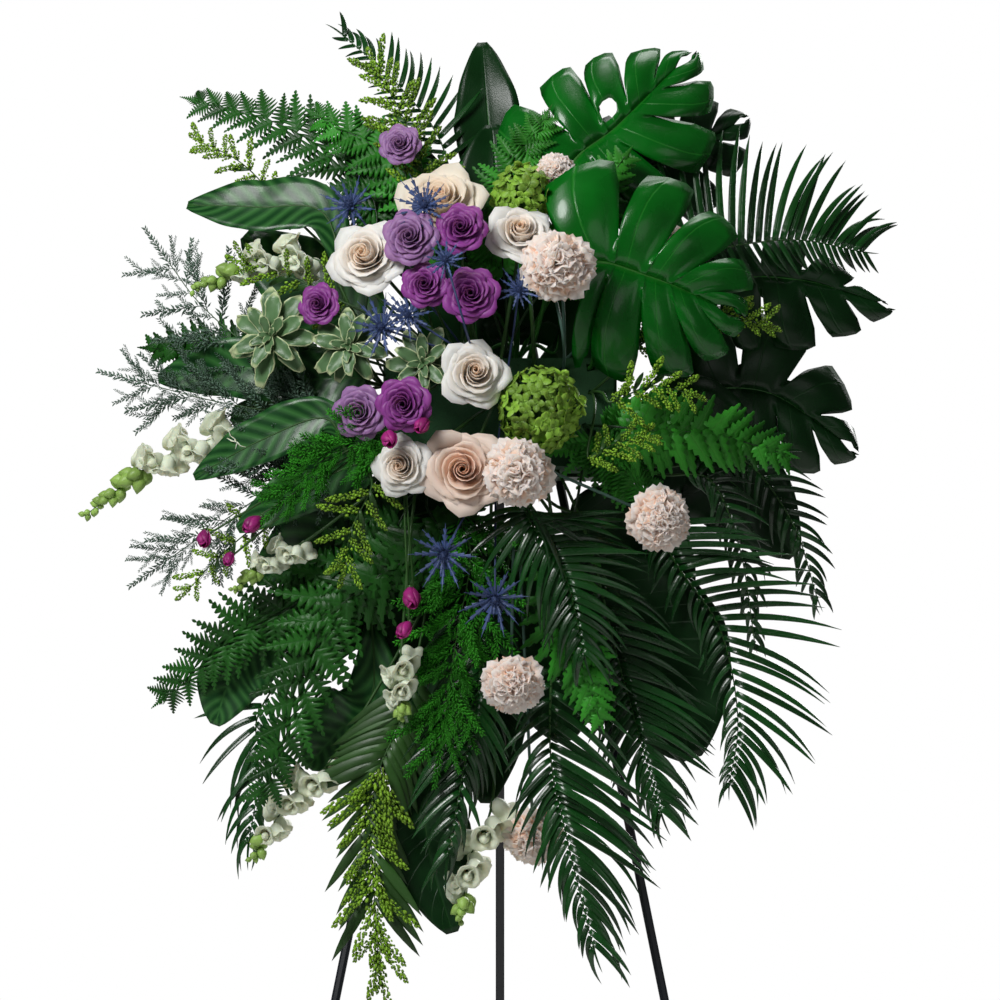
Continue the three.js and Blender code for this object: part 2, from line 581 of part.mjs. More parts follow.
// Layout. Every node has a name, a kind, the place where its stems enter the foam, and rows with the
// points of its front view, the layers at the first and last point, and the sizes its kind takes.
const LAYOUT = [
  ["monstera_upper", "monstera", ["side", 63, 4], [
    [[[568, 170], [618, 122], [678, 62]], [3.6, 3.2], 66, 88, 7, -6, 4, "split"]]],
  ["monstera_middle", "monstera", ["front", 92, 46], [
    [[[590, 264], [655, 278], [716, 304]], [8, 7], 78, 90, 7, -6, 10, "split"]]],
  ["dark_leaves_upper", "monstera", ["side", 74, 0], [
    [[[618, 186], [680, 150], [738, 118]], [0.6, 0.4], 50, 56, 4, 0, 0],
    [[[494, 172], [488, 110], [482, 34]], [0.4, 0.2], 30, 0, 5, 0, 0, "whole"],
    [[[452, 262], [400, 190], [352, 122]], [-0.6, -0.8], 46, 0, 4, 0, 0, "whole"],
    [[[505, 262], [498, 190], [492, 120]], [1.8, 1.6], 42, 0, 4, 0, 0, "whole"],
    [[[480, 346], [474, 300], [468, 236]], [-1.4, -1.4], 52, 0, 4, 0, 0, "whole"],
    [[[556, 350], [560, 306], [568, 244]], [-1, -1], 46, 0, 4, 0, 0, "whole"]]],
  ["dark_leaves_right", "monstera", ["side", 4, 0], [
    [[[724, 284], [800, 276], [884, 298]], [1.2, 0.8], 34, 62, 4, 0, 0],
    [[[706, 388], [775, 392], [846, 438]], [0.2, -0.2], 62, 74, 4, 0, 0],
    [[[676, 448], [738, 484], [800, 556]], [-0.6, -0.8], 46, 0, 5, 0, 0, "whole"],
    [[[648, 432], [700, 436], [752, 458]], [0.6, 0.3], 54, 0, 4, 0, 0, "whole"]]],
  ["dark_leaves_lower", "leaf", ["side", -66, 0], [
    [[[620, 596], [662, 670], [694, 762]], [0.6, 0.4], 66, 6, 0, 0.03],
    [[[432, 780], [428, 850], [452, 936]], [0.6, 0.4], 38, 6, 0, 0.03],
    [[[522, 566], [548, 650], [566, 744]], [0, -0.3], 58, 4, 0, 0.03],
    [[[590, 520], [640, 560], [676, 640]], [-0.5, -0.7], 50, 4, 0, 0.03],
    [[[490, 650], [488, 720], [486, 806]], [0.4, 0.2], 36, 4, 0, 0.03],
    [[[452, 560], [432, 640], [412, 752]], [-0.1, -0.1], 48, 4, 0, 0.03],
    [[[404, 520], [340, 590], [296, 676]], [-1, -1], 52, 4, 0, 0.03]]],
  ["striped_leaves_left", "leaf", ["side", 166, 4], [
    [[[325, 214], [255, 204], [183, 201]], [4.4, 4.2], 26, 5, 8, 0.05],
    [[[322, 376], [240, 366], [154, 377]], [4, 4], 28, 5, 0, 0.05],
    [[[366, 378], [320, 378], [262, 390]], [4.6, 4.4], 28, 5, 0, 0.05],
    [[[366, 424], [300, 430], [228, 412]], [1.4, 1.2], 40, 4, 0, 0.05],
    [[[354, 312], [304, 280], [240, 230]], [-1.2, -1], 40, 4, 0, 0.05]]],
  ["striped_leaves_lower", "leaf", ["side", 206, 5], [
    [[[325, 418], [260, 440], [192, 477]], [7.3, 7.1], 22, 5, 0, 0.05],
    [[[368, 460], [306, 486], [236, 530]], [5.2, 6.4], 24, 4, 0, 0.05],
    [[[376, 492], [326, 524], [252, 582]], [2.6, 2.4], 36, 4, 0, 0.05],
    [[[262, 642], [228, 680], [211, 728]], [1.2, 1], 30, 5, 0, 0.05],
    [[[372, 694], [335, 735], [306, 770]], [1.2, 1], 34, 5, 0, 0.05]]],
  ["palm_upper_right", "palm", ["side", 30, 2], [
    [[[690, 258], [790, 236], [872, 248]], [2.4, 2.2], 118, 42, [78, 34], 13]]],
  ["palm_right", "palm", ["side", -22, 2], [
    [[[675, 560], [722, 630], [740, 720], [731, 788]], [3.2, 3.2], 112, 40, [58, 24], 12, 0.1],
    [[[712, 480], [742, 550], [757, 645]], [4.4, 4.2], 46, 30, [45, 20], 7],
    [[[740, 455], [795, 520], [822, 600]], [1.5, 1.5], 56, 40, [50, 18], 7]]],
  ["palm_centre", "palm", ["side", -66, 6],
    [[[[528, 518], [565, 575], [584, 656]], [8, 7.4], 90, 70, [62, 22], 10]]],
  ["palm_lower_right", "palm", ["side", -44, 3],
    [[[[616, 650], [638, 730], [662, 815]], [3, 3], 92, 60, [52, 18], 11]]],
  ["palm_bottom", "palm", ["side", -52, 5],
    [[[[550, 742], [565, 830], [594, 950]], [5, 4.6], 114, 60, [50, 12], 12]]],
  ["palm_lower_left", "palm", ["side", 250, 4], [
    [[[480, 668], [468, 745], [448, 856]], [4, 3.8], 62, 90, [46, 14], 10],
    [[[264, 700], [258, 770], [246, 845]], [0.2, 0.2], 60, 70, [46, 16], 7]]],
  ["palm_top", "palm", ["side", 112, 0],
    [[[[445, 150], [400, 82], [340, 26]], [1, 1], 32, 58, [58, 20], 9]]],
  ["fern_upper_left", "fern", ["side", 160, 2], [
    [[[372, 196], [290, 125], [190, 93]], [2.2, 2.2], 44, 6],
    [[[300, 368], [225, 352], [146, 346]], [2, 2], 24, 5, "plain"]]],
  ["fern_top", "fern", ["side", 84, 6], [
    [[[502, 238], [515, 170], [545, 114]], [4.2, 4.2], 40, 5],
    [[[446, 226], [388, 154], [314, 110]], [3.4, 3.2], 44, 5, "lance"],
    [[[566, 262], [590, 205], [626, 154]], [5.6, 5.6], 30, 5, "plain"]]],
  ["fern_centre", "fern", ["front", 86, -14], [
    [[[592, 446], [618, 462], [656, 506]], [5.6, 5], 40, 5],
    [[[612, 428], [640, 424], [680, 412]], [4.2, 4.4], 34, 4, "lance"],
    [[[556, 610], [580, 660], [600, 720]], [6.2, 6.2], 30, 5, "plain"],
    [[[650, 430], [715, 434], [788, 454]], [6.6, 5.6], 34, 5, "plain"]]],
  ["fern_lower_left", "fern", ["side", 222, 4], [
    [[[388, 540], [330, 610], [298, 700], [262, 798]], [4.4, 4.6], 62, 6, "lance"],
    [[[300, 600], [232, 640], [160, 700]], [3, 3], 42, 5, "lance"],
    [[[438, 540], [372, 580], [304, 636]], [4.8, 4.6], 38, 5, "plain"]]],
  ["asparagus_grey", "asparagus", ["side", 184, 4], [
    [[[300, 415], [220, 402], [140, 382]], [4.9, 4.6], 2, 92, 15],
    [[[300, 470], [230, 515], [165, 560]], [4.9, 4.6], 2, 88, 15],
    [[[240, 340], [195, 300], [166, 262]], [3.2, 3], 1, 66, 14]]],
  ["asparagus_green", "asparagus", ["front", -70, -42], [
    [[[392, 436], [330, 456], [284, 500]], [9.2, 9], 2, 64, 17],
    [[[470, 548], [456, 640], [442, 735]], [5.4, 5.2], 3, 92, 17]]],
  ["goldenrod_upper_left", "goldenrod", ["side", 136, 5], [
    [[[425, 185], [405, 120], [374, 62]], [5.4, 5.2], 4, 50],
    [[[290, 212], [240, 160], [196, 136]], [3.4, 3.2], 3, 36],
    [[[340, 300], [290, 276], [242, 262]], [6, 6], 2, 36]]],
  ["goldenrod_right", "goldenrod", ["front", 92, 20], [
    [[[640, 345], [700, 312], [765, 322]], [4.8, 4.6], 4, 44],
    [[[612, 402], [650, 386], [686, 392]], [8.8, 8.4], 2, 36],
    [[[588, 458], [614, 444], [642, 438]], [9.6, 9.4], 2, 30]]],
  ["goldenrod_bottom", "goldenrod", ["side", 236, 3],
    [[[[408, 700], [372, 800], [378, 962]], [3, 3], 7, 60, 36]]],
  ["goldenrod_left", "goldenrod", ["side", 194, 6], [
    [[[262, 520], [218, 556], [186, 590]], [5.6, 5.4], 2, 30],
    [[[372, 486], [352, 528], [345, 566]], [8.8, 8.6], 2, 36]]],
  ["hydrangea_centre", "hydrangea", ["front", 40, 6], [[540, 410, 9.4, 42, 10, 21]]],
  ["hydrangea_upper", "hydrangea", ["front", 34, 46, false, 0.9], [[522, 194, 7.2, 28, 6, 17]]],
  ["rose_white_left", "rose", null, [[367, 257, 10.4, 35, [-0.1, 0.1], 0.3]]],
  ["rose_cream", "rose", null, [[440, 203, 8.2, 40, [0, 0.35], 0.8]]],
  ["rose_white_upper", "rose", null, [[520, 233, 10, 30, [0, 0.3], 0.2]]],
  ["rose_white_centre", "rose", null, [[474, 374, 10.8, 31, [0.2, 0.2], 0.5]]],
  ["rose_white_low", "rose", null, [[402, 466, 10.4, 27, [-0.1, 0.1], 1.1]]],
  ["rose_peach", "rose", null, [[464, 470, 10.6, 38, [0, 0.15], 0.1]]],
  ["rose_stems", "rose_stems", ["front", -6, 8, false, 0.04], []],
  ["spray_roses_purple", "spray_rose", ["front", -36, 40, false, 0.1], [
    [461, 229, 12.4, 22], [425, 285, 11.8, 20], [471, 295, 12, 24], [318, 304, 8.8, 18],
    [404, 405, 12.4, 23]]],
  ["spray_roses_lavender", "spray_rose", ["front", -72, 34, false, 0.45], [
    [410, 238, 12.2, 24], [399, 142, 7.4, 18], [360, 413, 10.4, 23]]],
  ["rose_buds", "bud", ["front", -92, -8, false, 0.9], [
    [203, 535, 8.2, 10], [256, 521, 8.6, 11], [229, 556, 8.2, 8], [411, 593, 8.6, 12], [407, 626, 8.6, 10],
    [390, 436, 12, 11], [425, 423, 12.2, 10]]],
  ["carnations_upper", "back_carnation", ["front", 64, 44],
    [[557, 265, 12, 38, [0, 0.1], 0], [556, 168, 6.2, 22, [0, 0.3], 0]]],
  ["carnation_centre", "carnation", null, [[519, 474, 12.6, 36, [0, 0], 0.4]]],
  ["carnation_right", "carnation", null, [[661, 520, 10.2, 34, [0, 0], 0.8]]],
  ["carnation_lower", "carnation", null, [[512, 687, 8.6, 32, [0, 0], 0.2]]],
  ["carnation_bottom", "carnation", null, [[535, 842, 1.4, 32, [0, 0], 0.6]]],
  ["carnation_stems", "carnation_stems", ["front", 14, -44, false, 0.4], []],
  ["carnation_back", "back_carnation", ["side", 40, 5], [[676, 243, 5, 24, [0.2, 0.2], 0]]],
  ["snapdragon_left", "snapdragon", ["side", 190, 6],
    [[[[262, 428], [165, 455], [80, 515]], [5.6, 5.2], 5, 3, 18]]],
  ["snapdragon_upper", "snapdragon", ["side", 152, 6],
    [[[[322, 262], [262, 258], [190, 288]], [5.6, 5.2], 4, 2, 16]]],
  ["snapdragon_middle", "snapdragon", ["front", -78, -46], [
    [[[310, 538], [270, 560], [232, 590]], [6.4, 6], 3, 2, 13],
    [[[402, 640], [400, 680], [402, 718]], [6.6, 6.6], 3, 1, 14]]],
  ["snapdragon_low", "snapdragon", ["side", 262, 2], [
    [[[338, 752], [290, 800], [250, 862]], [2.2, 2.2], 4, 1, 16],
    [[[494, 790], [470, 860], [461, 922]], [1.6, 1.6], 3, 1, 18]]],
  ["thistle_upper", "holly", ["front", -23.5, 46, false, 0.88], [
    [425, 207, 11.6, 8, 5], [350, 205, 8.2, 8, 5], [446, 262, 13.6, 6, 5],
    [382, 328, 10, 8, 5], [408, 316, 10.8, 7, 5]]],
  ["thistle_lower", "holly", ["front", -4, -46, false, 0.2],
    [[519, 291, 11, 6, 5], [444, 554, 9, 9, 6], [495, 598, 9, 9, 6]]],
  ["pittosporum", "rosette", ["front", -98, 40], [
    [272, 336, 8.2, 42, 5], [350, 346, 8.6, 36, 5], [424, 364, 9.4, 32, 5]]],
];

const CARRIED = {
  rose_stems: ["rose_white_left", "rose_cream", "rose_white_upper", "rose_white_centre", "rose_white_low",
    "rose_peach"],
  carnation_stems: ["carnation_centre", "carnation_right", "carnation_lower", "carnation_bottom"],
};

const withStem = (profile, sides, from, row, low, half) =>
  bloom(profile, sides, row).add(bloomStem(from, row, low, half, 0));
const rowsOf = (name) => LAYOUT.find((node) => node[0] === name)[3];
const MAKERS = {
  monstera, leaf, palm, fern, asparagus, goldenrod, snapdragon, holly, rosette, hydrangea,
  rose: (from, row) => bloom(ROSE, 10, row),
  carnation: (from, row) => bloom(CARNATION, 12, row),
  back_carnation: (from, row) => withStem(CARNATION, 12, from, row, -0.6, STEM.back_carnation),
  spray_rose: (from, row) => withStem(SMALL_ROSE, 8, from, row, -0.6, STEM.spray_rose),
  bud: (from, row) => withStem(BUD, 4, from, row, -0.9, STEM.bud),
};

const COLOURS = {
  monstera: 0x0d6a18, leaf: 0x164a1c, palm: 0x12421a, fern: 0x1d5a22, asparagus: 0x2a6a2a,
  goldenrod: 0x8fa92f, snapdragon: 0xdfe6cc, holly: 0x3a4c86, rosette: 0x6f8d5e, hydrangea: 0x7fa53a,
  rose: 0xf2ece0, carnation: 0xf0dcd0, back_carnation: 0xf0dcd0, spray_rose: 0x94408f, bud: 0x9a2a70,
  rose_stems: 0x35602c, carnation_stems: 0x4a7a4a,
};
const OWN_COLOURS = {
  dark_leaves_upper: 0x0b3012, dark_leaves_right: 0x0b3012, dark_leaves_lower: 0x0c3414, rose_peach: 0xf1d4bd,
  rose_cream: 0xf3e3cc, spray_roses_lavender: 0xa77fb8, asparagus_grey: 0x5f7c66, palm_top: 0x1a4a1e,
};

function plantSolid([name, kind, from, rows]) {
  const source = (i) => (from ? [from[0], from[1], from[2], i > 0, from[4]] : null);
  if (CARRIED[name]) {
    const rose = name === "rose_stems";
    const [low, flare] = rose ? [ROSE[0][1], 7] : [CARNATION[0][1], 5.5];
    return fuse(CARRIED[name].map((bloomName, i) =>
      bloomStem(source(i), rowsOf(bloomName)[0], low, STEM[kind], flare)));
  }
  return fuse(rows.map((row, i) => MAKERS[kind](source(i), row, i * 37 + 11)));
}

// Assembly
const object = new THREE.Group();
const easel = new THREE.Group();
const spray = new THREE.Group();
object.add(easel, spray);
object.position.set(-(MIDDLE_X - VIEW_X), -MIDDLE_Y, 0);
easel.position.set(0, 0, APEX_HEIGHT);
easel.rotation.x = -LEAN;
const foamY = FOAM_W0 * Math.cos(LEAN) - FOAM_DROP * Math.sin(LEAN);
const foamZ = -FOAM_W0 * Math.sin(LEAN) - FOAM_DROP * Math.cos(LEAN);
spray.position.set(0, foamY, APEX_HEIGHT + foamZ);

function geometryOf(solid) {
  const m = solid.getMesh();
  const points = new Float32Array(m.numVert * 3);
  for (let i = 0; i < m.numVert; i++) {
    points.set(m.vertProperties.subarray(i * m.numProp, i * m.numProp + 3), i * 3);
  }
  const geometry = new THREE.BufferGeometry();
  geometry.setAttribute("position", new THREE.BufferAttribute(points, 3));
  geometry.setIndex(new THREE.BufferAttribute(new Uint32Array(m.triVerts), 1));
  geometry.computeVertexNormals();
  return geometry;
}

function add(parent, name, solid, colour, roughness, metalness) {
  const material = new THREE.MeshStandardMaterial({ color: colour, roughness, metalness: metalness || 0 });
  const mesh = new THREE.Mesh(solid.isBufferGeometry ? solid : geometryOf(solid), material);
  mesh.name = name;
  parent.add(mesh);
  return mesh;
}

// A round bar between two points
function bar(a, b, r, sides) {
  const geometry = new THREE.CylinderGeometry(r, r, a.distanceTo(b), sides || 8);
  const q = new THREE.Quaternion().setFromUnitVectors(V(0, 1, 0), b.clone().sub(a).normalize());
  const middle = a.clone().add(b).multiplyScalar(0.5);
  return solidOf(geometry.applyQuaternion(q).translate(middle.x, middle.y, middle.z));
}

function box(x0, x1, y0, y1, z0, z1) {
  const geometry = new THREE.BoxGeometry(x1 - x0, y1 - y0, z1 - z0);
  return solidOf(geometry.translate((x0 + x1) / 2, (y0 + y1) / 2, (z0 + z1) / 2));
}

// Easel, in the leaning frame of its front legs: x across, y back, z up, from the apex
const STEEL = 0x14171c;
const legLength = (APEX_HEIGHT - 6) / Math.cos(LEAN) / Math.cos(SPLAY);
const legDir = (side) => V(side * Math.sin(SPLAY), 0, -Math.cos(SPLAY));
const legTop = (side) => V(side * LEG_TOP_X, 0, -4);
const floorCut = (group, solid) => {
  object.updateMatrixWorld(true);
  const toGroup = group.matrixWorld.clone().invert();
  const slab = new THREE.BoxGeometry(2000, 2000, 200).translate(0, 0, -100).applyMatrix4(toGroup);
  return solid.subtract(solidOf(slab));
};

function capOn(end, dir, group) {
  const start = end.clone().addScaledVector(dir, -CAP_LENGTH + 6);
  const outer = bar(start, end.clone().addScaledVector(dir, 20), CAP_R, 10);
  const inner = bar(start.addScaledVector(dir, -4), end.clone().addScaledVector(dir, GAP), ROD_R + 0.7);
  return floorCut(group, outer.subtract(inner));
}

[["left", -1], ["right", 1]].forEach(([label, side]) => {
  const dir = legDir(side);
  const drop = APEX_HEIGHT / Math.cos(LEAN);
  const end = legTop(side).addScaledVector(dir, (drop - 12) / Math.cos(SPLAY));
  add(easel, "front_leg_" + label, bar(legTop(side), end, ROD_R), STEEL, 0.35, 0.6);
  add(easel, "foot_cap_" + label, capOn(end, dir, easel), 0x111111, 0.8);
});

// Head plate behind the legs, with two lugs and the hinge pin between them
const plateBack = ROD_R + GAP + 3;
const lug = (side) =>
  box(side * 9.5 - 1.5, side * 9.5 + 1.5, plateBack - 1, HINGE_BACK + 6, -HINGE_DROP - 7, -HINGE_DROP + 7);
const pin = bar(V(-12.5, HINGE_BACK, -HINGE_DROP), V(12.5, HINGE_BACK, -HINGE_DROP), PIN_R, 10);
const plate = box(-24, 24, ROD_R + GAP, plateBack, -46, 6);
add(easel, "easel_head", fuse([plate, lug(-1), lug(1), pin]), STEEL, 0.35, 0.6);

// Cross bar behind the legs, with the peg that carries the tray
const BAR_V = -98;
const barHalf = LEG_TOP_X + 8 - BAR_V * Math.tan(SPLAY);
const crossBar = box(-barHalf, barHalf, ROD_R + GAP, ROD_R + GAP + 3, BAR_V - 7, BAR_V + 7);
const peg = bar(V(0, ROD_R + GAP + 1, BAR_V), V(0, -ROD_R - GAP - TRAY_WALL - 6, BAR_V), 4, 10);
add(easel, "cross_bar", fuse([crossBar, peg]), STEEL, 0.35, 0.6);

// Tray: open to the front, its tab hangs on the peg
const trayBack = -(ROD_R + GAP);
const [tw, th] = [FOAM_W / 2 + GAP + TRAY_WALL, FOAM_H / 2 + GAP + TRAY_WALL];
const [trayFront, trayMiddle] = [trayBack - TRAY_WALL - TRAY_DEPTH, -FOAM_DROP];
const trayOuter = box(-tw, tw, trayFront, trayBack, trayMiddle - th, trayMiddle + th);
const [iw, ih] = [tw - TRAY_WALL, th - TRAY_WALL];
const trayInner = box(-iw, iw, trayFront - 5, trayBack - TRAY_WALL, trayMiddle - ih, trayMiddle + ih);
const tab = box(-16, 16, trayBack - TRAY_WALL, trayBack, -FOAM_DROP + th - 6, BAR_V + 12);
const tabHole = bar(V(0, 5, BAR_V), V(0, -20, BAR_V), 4 + GAP + 0.2, 10);
const tray = fuse([trayOuter.subtract(trayInner), tab]).subtract(tabHole);

// Back leg on the hinge pin, standing open on its foot cap
const backLeg = new THREE.Group();
object.add(backLeg);
const hinge = V(0, HINGE_BACK, -HINGE_DROP).applyAxisAngle(V(1, 0, 0), -LEAN).add(easel.position);
backLeg.position.copy(hinge);
const backDir = V(0, Math.sin(BACK_ANGLE), -Math.cos(BACK_ANGLE));
const backEnd = backDir.clone().multiplyScalar((hinge.z - 7) / Math.cos(BACK_ANGLE));
const eye = bar(V(-7.6, 0, 0), V(7.6, 0, 0), PIN_R + 3.6, 12);
const eyeHole = bar(V(-9, 0, 0), V(9, 0, 0), PIN_R + GAP + 0.1, 12);
const backRod = bar(backDir.clone().multiplyScalar(5), backEnd, ROD_R);
add(backLeg, "back_leg", eye.add(backRod).subtract(eyeHole), STEEL, 0.35, 0.6);
add(backLeg, "foot_cap_back", capOn(backEnd, backDir, backLeg), 0x111111, 0.8);

// Plants, and the holes of their stems in the foam and the tray
const [fw, fd, fh] = [FOAM_W / 2, FOAM_D / 2, FOAM_H / 2];
const foamBox = box(-fw, fw, FOAM_W0 - fd, FOAM_W0 + fd, -FOAM_DROP - fh, -FOAM_DROP + fh);
const toEasel = (p) => p.clone().add(V(0, foamY, foamZ)).applyAxisAngle(V(1, 0, 0), LEAN);
let foam = foamBox;
const problems = [];
LAYOUT.forEach((node) => {
  const [name, kind, from] = node;
  let solid;
  try {
    solid = plantSolid(node);
  } catch (error) {
    problems.push(name + ": " + error.message);
    return;
  }
  add(spray, name, solid, OWN_COLOURS[name] || COLOURS[kind], 0.5);
  if (!from) return;
  const [root, mouth] = socket(from);
  const dir = mouth.clone().sub(root).normalize();
  const [inner, outer] = [root.addScaledVector(dir, -0.6), mouth.addScaledVector(dir, 9)];
  foam = foam.subtract(bar(toEasel(inner), toEasel(outer), STEM[kind] * 2 + 0.45, 4));
});
if (problems.length) throw new Error(problems.join("\n"));
add(easel, "floral_foam", foam, 0x2f5b2c, 0.95);
add(easel, "foam_tray", tray, 0x1c3b20, 0.6);

export default object;
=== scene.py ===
# A standing funeral arrangement: a spray of flowers and foliage on a folding steel easel.
# Every plant piece takes the place of the plain solid of the same name, on the same stems.
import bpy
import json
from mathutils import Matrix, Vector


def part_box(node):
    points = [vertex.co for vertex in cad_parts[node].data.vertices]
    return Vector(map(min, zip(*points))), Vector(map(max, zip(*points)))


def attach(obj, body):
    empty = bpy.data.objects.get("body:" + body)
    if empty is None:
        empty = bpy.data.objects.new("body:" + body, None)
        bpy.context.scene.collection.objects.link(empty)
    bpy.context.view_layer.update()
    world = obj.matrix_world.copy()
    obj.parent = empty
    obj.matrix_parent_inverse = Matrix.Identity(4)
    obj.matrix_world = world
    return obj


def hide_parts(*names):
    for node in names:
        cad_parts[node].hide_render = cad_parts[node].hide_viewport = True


bl_info = {
    "name": "Standing Flower Spray",
    "version": (1, 0, 0),
    "blender": (4, 5, 0),
    "location": "View3D > Sidebar > Spray",
    "description": "Dresses a standing flower spray and its easel, and sets a plain studio round it",
    "category": "Object",
}

import json
import math
import random

import bmesh
import bpy
import numpy as np
from bpy.props import FloatProperty, FloatVectorProperty, PointerProperty
from bpy.types import Operator, Panel, PropertyGroup
from mathutils import Matrix, Vector

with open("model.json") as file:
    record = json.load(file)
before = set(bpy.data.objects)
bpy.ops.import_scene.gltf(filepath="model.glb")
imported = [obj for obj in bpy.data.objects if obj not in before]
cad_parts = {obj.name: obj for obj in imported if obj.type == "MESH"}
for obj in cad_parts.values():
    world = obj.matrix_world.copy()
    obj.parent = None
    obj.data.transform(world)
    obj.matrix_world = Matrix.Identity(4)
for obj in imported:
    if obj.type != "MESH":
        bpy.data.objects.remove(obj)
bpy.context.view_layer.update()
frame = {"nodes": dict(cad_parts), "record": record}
SLOT_OF = {part["node"]: part["material_slot"] for part in frame["record"]["subparts"]}

# The layout is in millimetres, across and up from the middle of the foam brick, and the flowers face -Y.
MM = 0.001
FOAM_LOW, FOAM_HIGH = (Vector(corner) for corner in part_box("floral_foam"))
CENTRE = (FOAM_LOW + FOAM_HIGH) / 2
LEAN = math.radians(8)
FOAM_W, FOAM_H, FOAM_D = 230, 110, 80
VIEW = (500, 417)
FRONT, UP = Vector((0, -1, 0)), Vector((0, 0, 1))

# Layers lie this far apart, and bend back toward the sides and the top and forward toward the bottom
LAYER = 14
SIDE_CURVE, TOP_CURVE, LOW_CURVE = (-110, 430), (-90, 400), (45, 570)

# Holes in the foam: how far before its face a stem leaves them, where those in the front end, how deep
# those in the sides are, and where their rows lie
LIP, FRONT_END, SIDE_DEEP, FIRST_ROW, ROW_STEP = 1.5, -12, 30, 8, 7

# The knee of a stem: its share of the way from the hole to the blade, and how far before the foam it stays.
# For holes in the front and the side, how far out it stands and its share of the way to its layer.
KNEE_AT, KNEE_CLEAR = 0.34, 12
KNEE_OUT = {"front": 10, "side": 16}
KNEE_PUSH = {"front": 0.55, "side": 0.8}

# Blooms look outward, less so as these grow, and their stems have a straight neck, which is at most this long
OUTWARD = (520, 620)
NECK = 26

# Half thickness of each kind of stem
STEM = {
    "monstera": 2.3, "leaf": 1.9, "palm": 1.7, "fern": 1.4, "asparagus": 1.2, "goldenrod": 1.4,
    "snapdragon": 1.7, "holly": 1.1, "rosette": 1.5, "hydrangea": 2, "rose_stems": 1.9,
    "carnation_stems": 1.6, "back_carnation": 1.6, "spray_rose": 1.4, "bud": 1.1,
}
# Thickness of a large leaf
LEAF_THICK = 0.7
# Corners nearer than this become one, in a leaf or petal and in a stem
SAME_PLACE, SAME_ON_STEM = 1e-5, 1e-3
# The angle from one point of a dome to the next
GOLDEN = 2.39996


# Places and stems, by the same rules as the solids


def mix(a, b, s):
    return a + (b - a) * s


def ease(a, b, x):
    """0 below a, 1 above b, and smooth between them."""
    x = min(max((x - a) / (b - a), 0), 1)
    return x * x * (3 - 2 * x)


def hump(x):
    """Rises from 0 to 1 at the middle and falls to 0 again, and stays there."""
    return math.sin(math.pi * min(1, x))


def spot(point, layer):
    """The place of a point of the front view, in a layer counted from the back."""
    across, up = point[0] - VIEW[0], VIEW[1] - point[1]
    side = SIDE_CURVE[0] * (across / SIDE_CURVE[1]) ** 2
    fall, reach = TOP_CURVE if up > 0 else LOW_CURVE
    return Vector((across, -(LAYER * layer + side + fall * (up / reach) ** 2), up))


def in_foam(u, w, v):
    """A point across, back and up in the leaning foam brick."""
    c, s = math.cos(LEAN), math.sin(LEAN)
    return Vector((u, w * c + v * s, v * c - w * s))


def socket(place):
    """The inner end and the mouth of the hole that a bunch of stems stands in."""
    where, a, b = place[:3]
    if where == "front":
        return in_foam(a * 0.85, FRONT_END, b * 0.85), in_foam(a, -FOAM_D / 2 - LIP, b)
    c, s = math.cos(math.radians(a)), math.sin(math.radians(a))
    reach = min(FOAM_W / 2 / max(abs(c), 1e-9), FOAM_H / 2 / max(abs(s), 1e-9))
    w = FIRST_ROW - ROW_STEP * b
    deep, mouth = reach - SIDE_DEEP, reach + LIP
    return in_foam(deep * c, w, deep * s), in_foam(mouth * c, w, mouth * s)


def curve_point(way, t):
    """A point of the smooth line through the given points, from 0 to 1."""
    last = len(way) - 1
    k = min(int(t * last), last - 1)
    x = t * last - k
    p1, p2 = way[k], way[k + 1]
    p0 = way[k - 1] if k > 0 else p1 * 2 - p2
    p3 = way[k + 2] if k + 2 <= last else p2 * 2 - p1
    m1, m2 = (p2 - p0) * 0.5, (p3 - p1) * 0.5
    return p1 + m1 * x + (p2 * 3 - p1 * 3 - m1 * 2 - m2) * x**2 + (p1 * 2 - p2 * 2 + m1 + m2) * x**3


class Run:
    """One stem and its blade, counted from 0 to 1, which may begin early on the stem."""

    def __init__(self, place, points, layers, facing=FRONT, early=0.0, steps=40):
        self.root, self.mouth = socket(place)
        n = max(len(points) - 1, 1)
        seen = [spot(p, layers[0] + (layers[1] - layers[0]) * i / n) for i, p in enumerate(points)]
        where = place[0]
        out = (self.mouth - self.root).normalized()
        knee = self.mouth.lerp(seen[0], KNEE_AT) + out * KNEE_OUT[where]
        shell = spot((knee.x + VIEW[0], VIEW[1] - knee.z), layers[0]).y
        own_push = where == "front" and len(place) > 3
        knee.y += (shell - knee.y) * (place[3] if own_push else KNEE_PUSH[where])
        if where == "front":
            knee.y = min(knee.y, self.mouth.y - KNEE_CLEAR)
        self.way = [self.root, self.mouth, knee, *seen]
        self.steps = steps
        if len(seen) < 2:
            return
        self.base = (3 - early) / (len(self.way) - 1)
        normal = Vector(facing)
        self.frames = []
        for i in range(steps + 1):
            t = self.base + (1 - self.base) * i / steps
            ahead = curve_point(self.way, min(1, t + 1e-3)) - curve_point(self.way, t - 1e-3)
            along = ahead.normalized()
            normal = (normal - along * normal.dot(along)).normalized()
            self.frames.append((curve_point(self.way, t), along, normal, along.cross(normal)))

    def at(self, s):
        """Place, way ahead, face and right-hand side at a part of the blade."""
        x = min(max(s, 0), 1) * self.steps
        k = min(int(x), self.steps - 1)
        a, b = self.frames[k], self.frames[k + 1]
        p = a[0].lerp(b[0], x - k)
        return (p, *((a[j].lerp(b[j], x - k)).normalized() for j in (1, 2, 3)))

    def stem(self, thick, tip, first):
        """The line of the stem and rib, with its radius, from the foam to the tip."""
        line = [(self.root, thick)] if first else []
        for i in range(9):
            line.append((curve_point(self.way, mix(1 / (len(self.way) - 1), self.base, i / 8)), thick))
        count = 18
        for i in range(1, count + 1):
            line.append((self.at(i / count)[0], mix(thick * (1 - 0.35 * min(1, i / 4)), tip, i / count)))
        return line


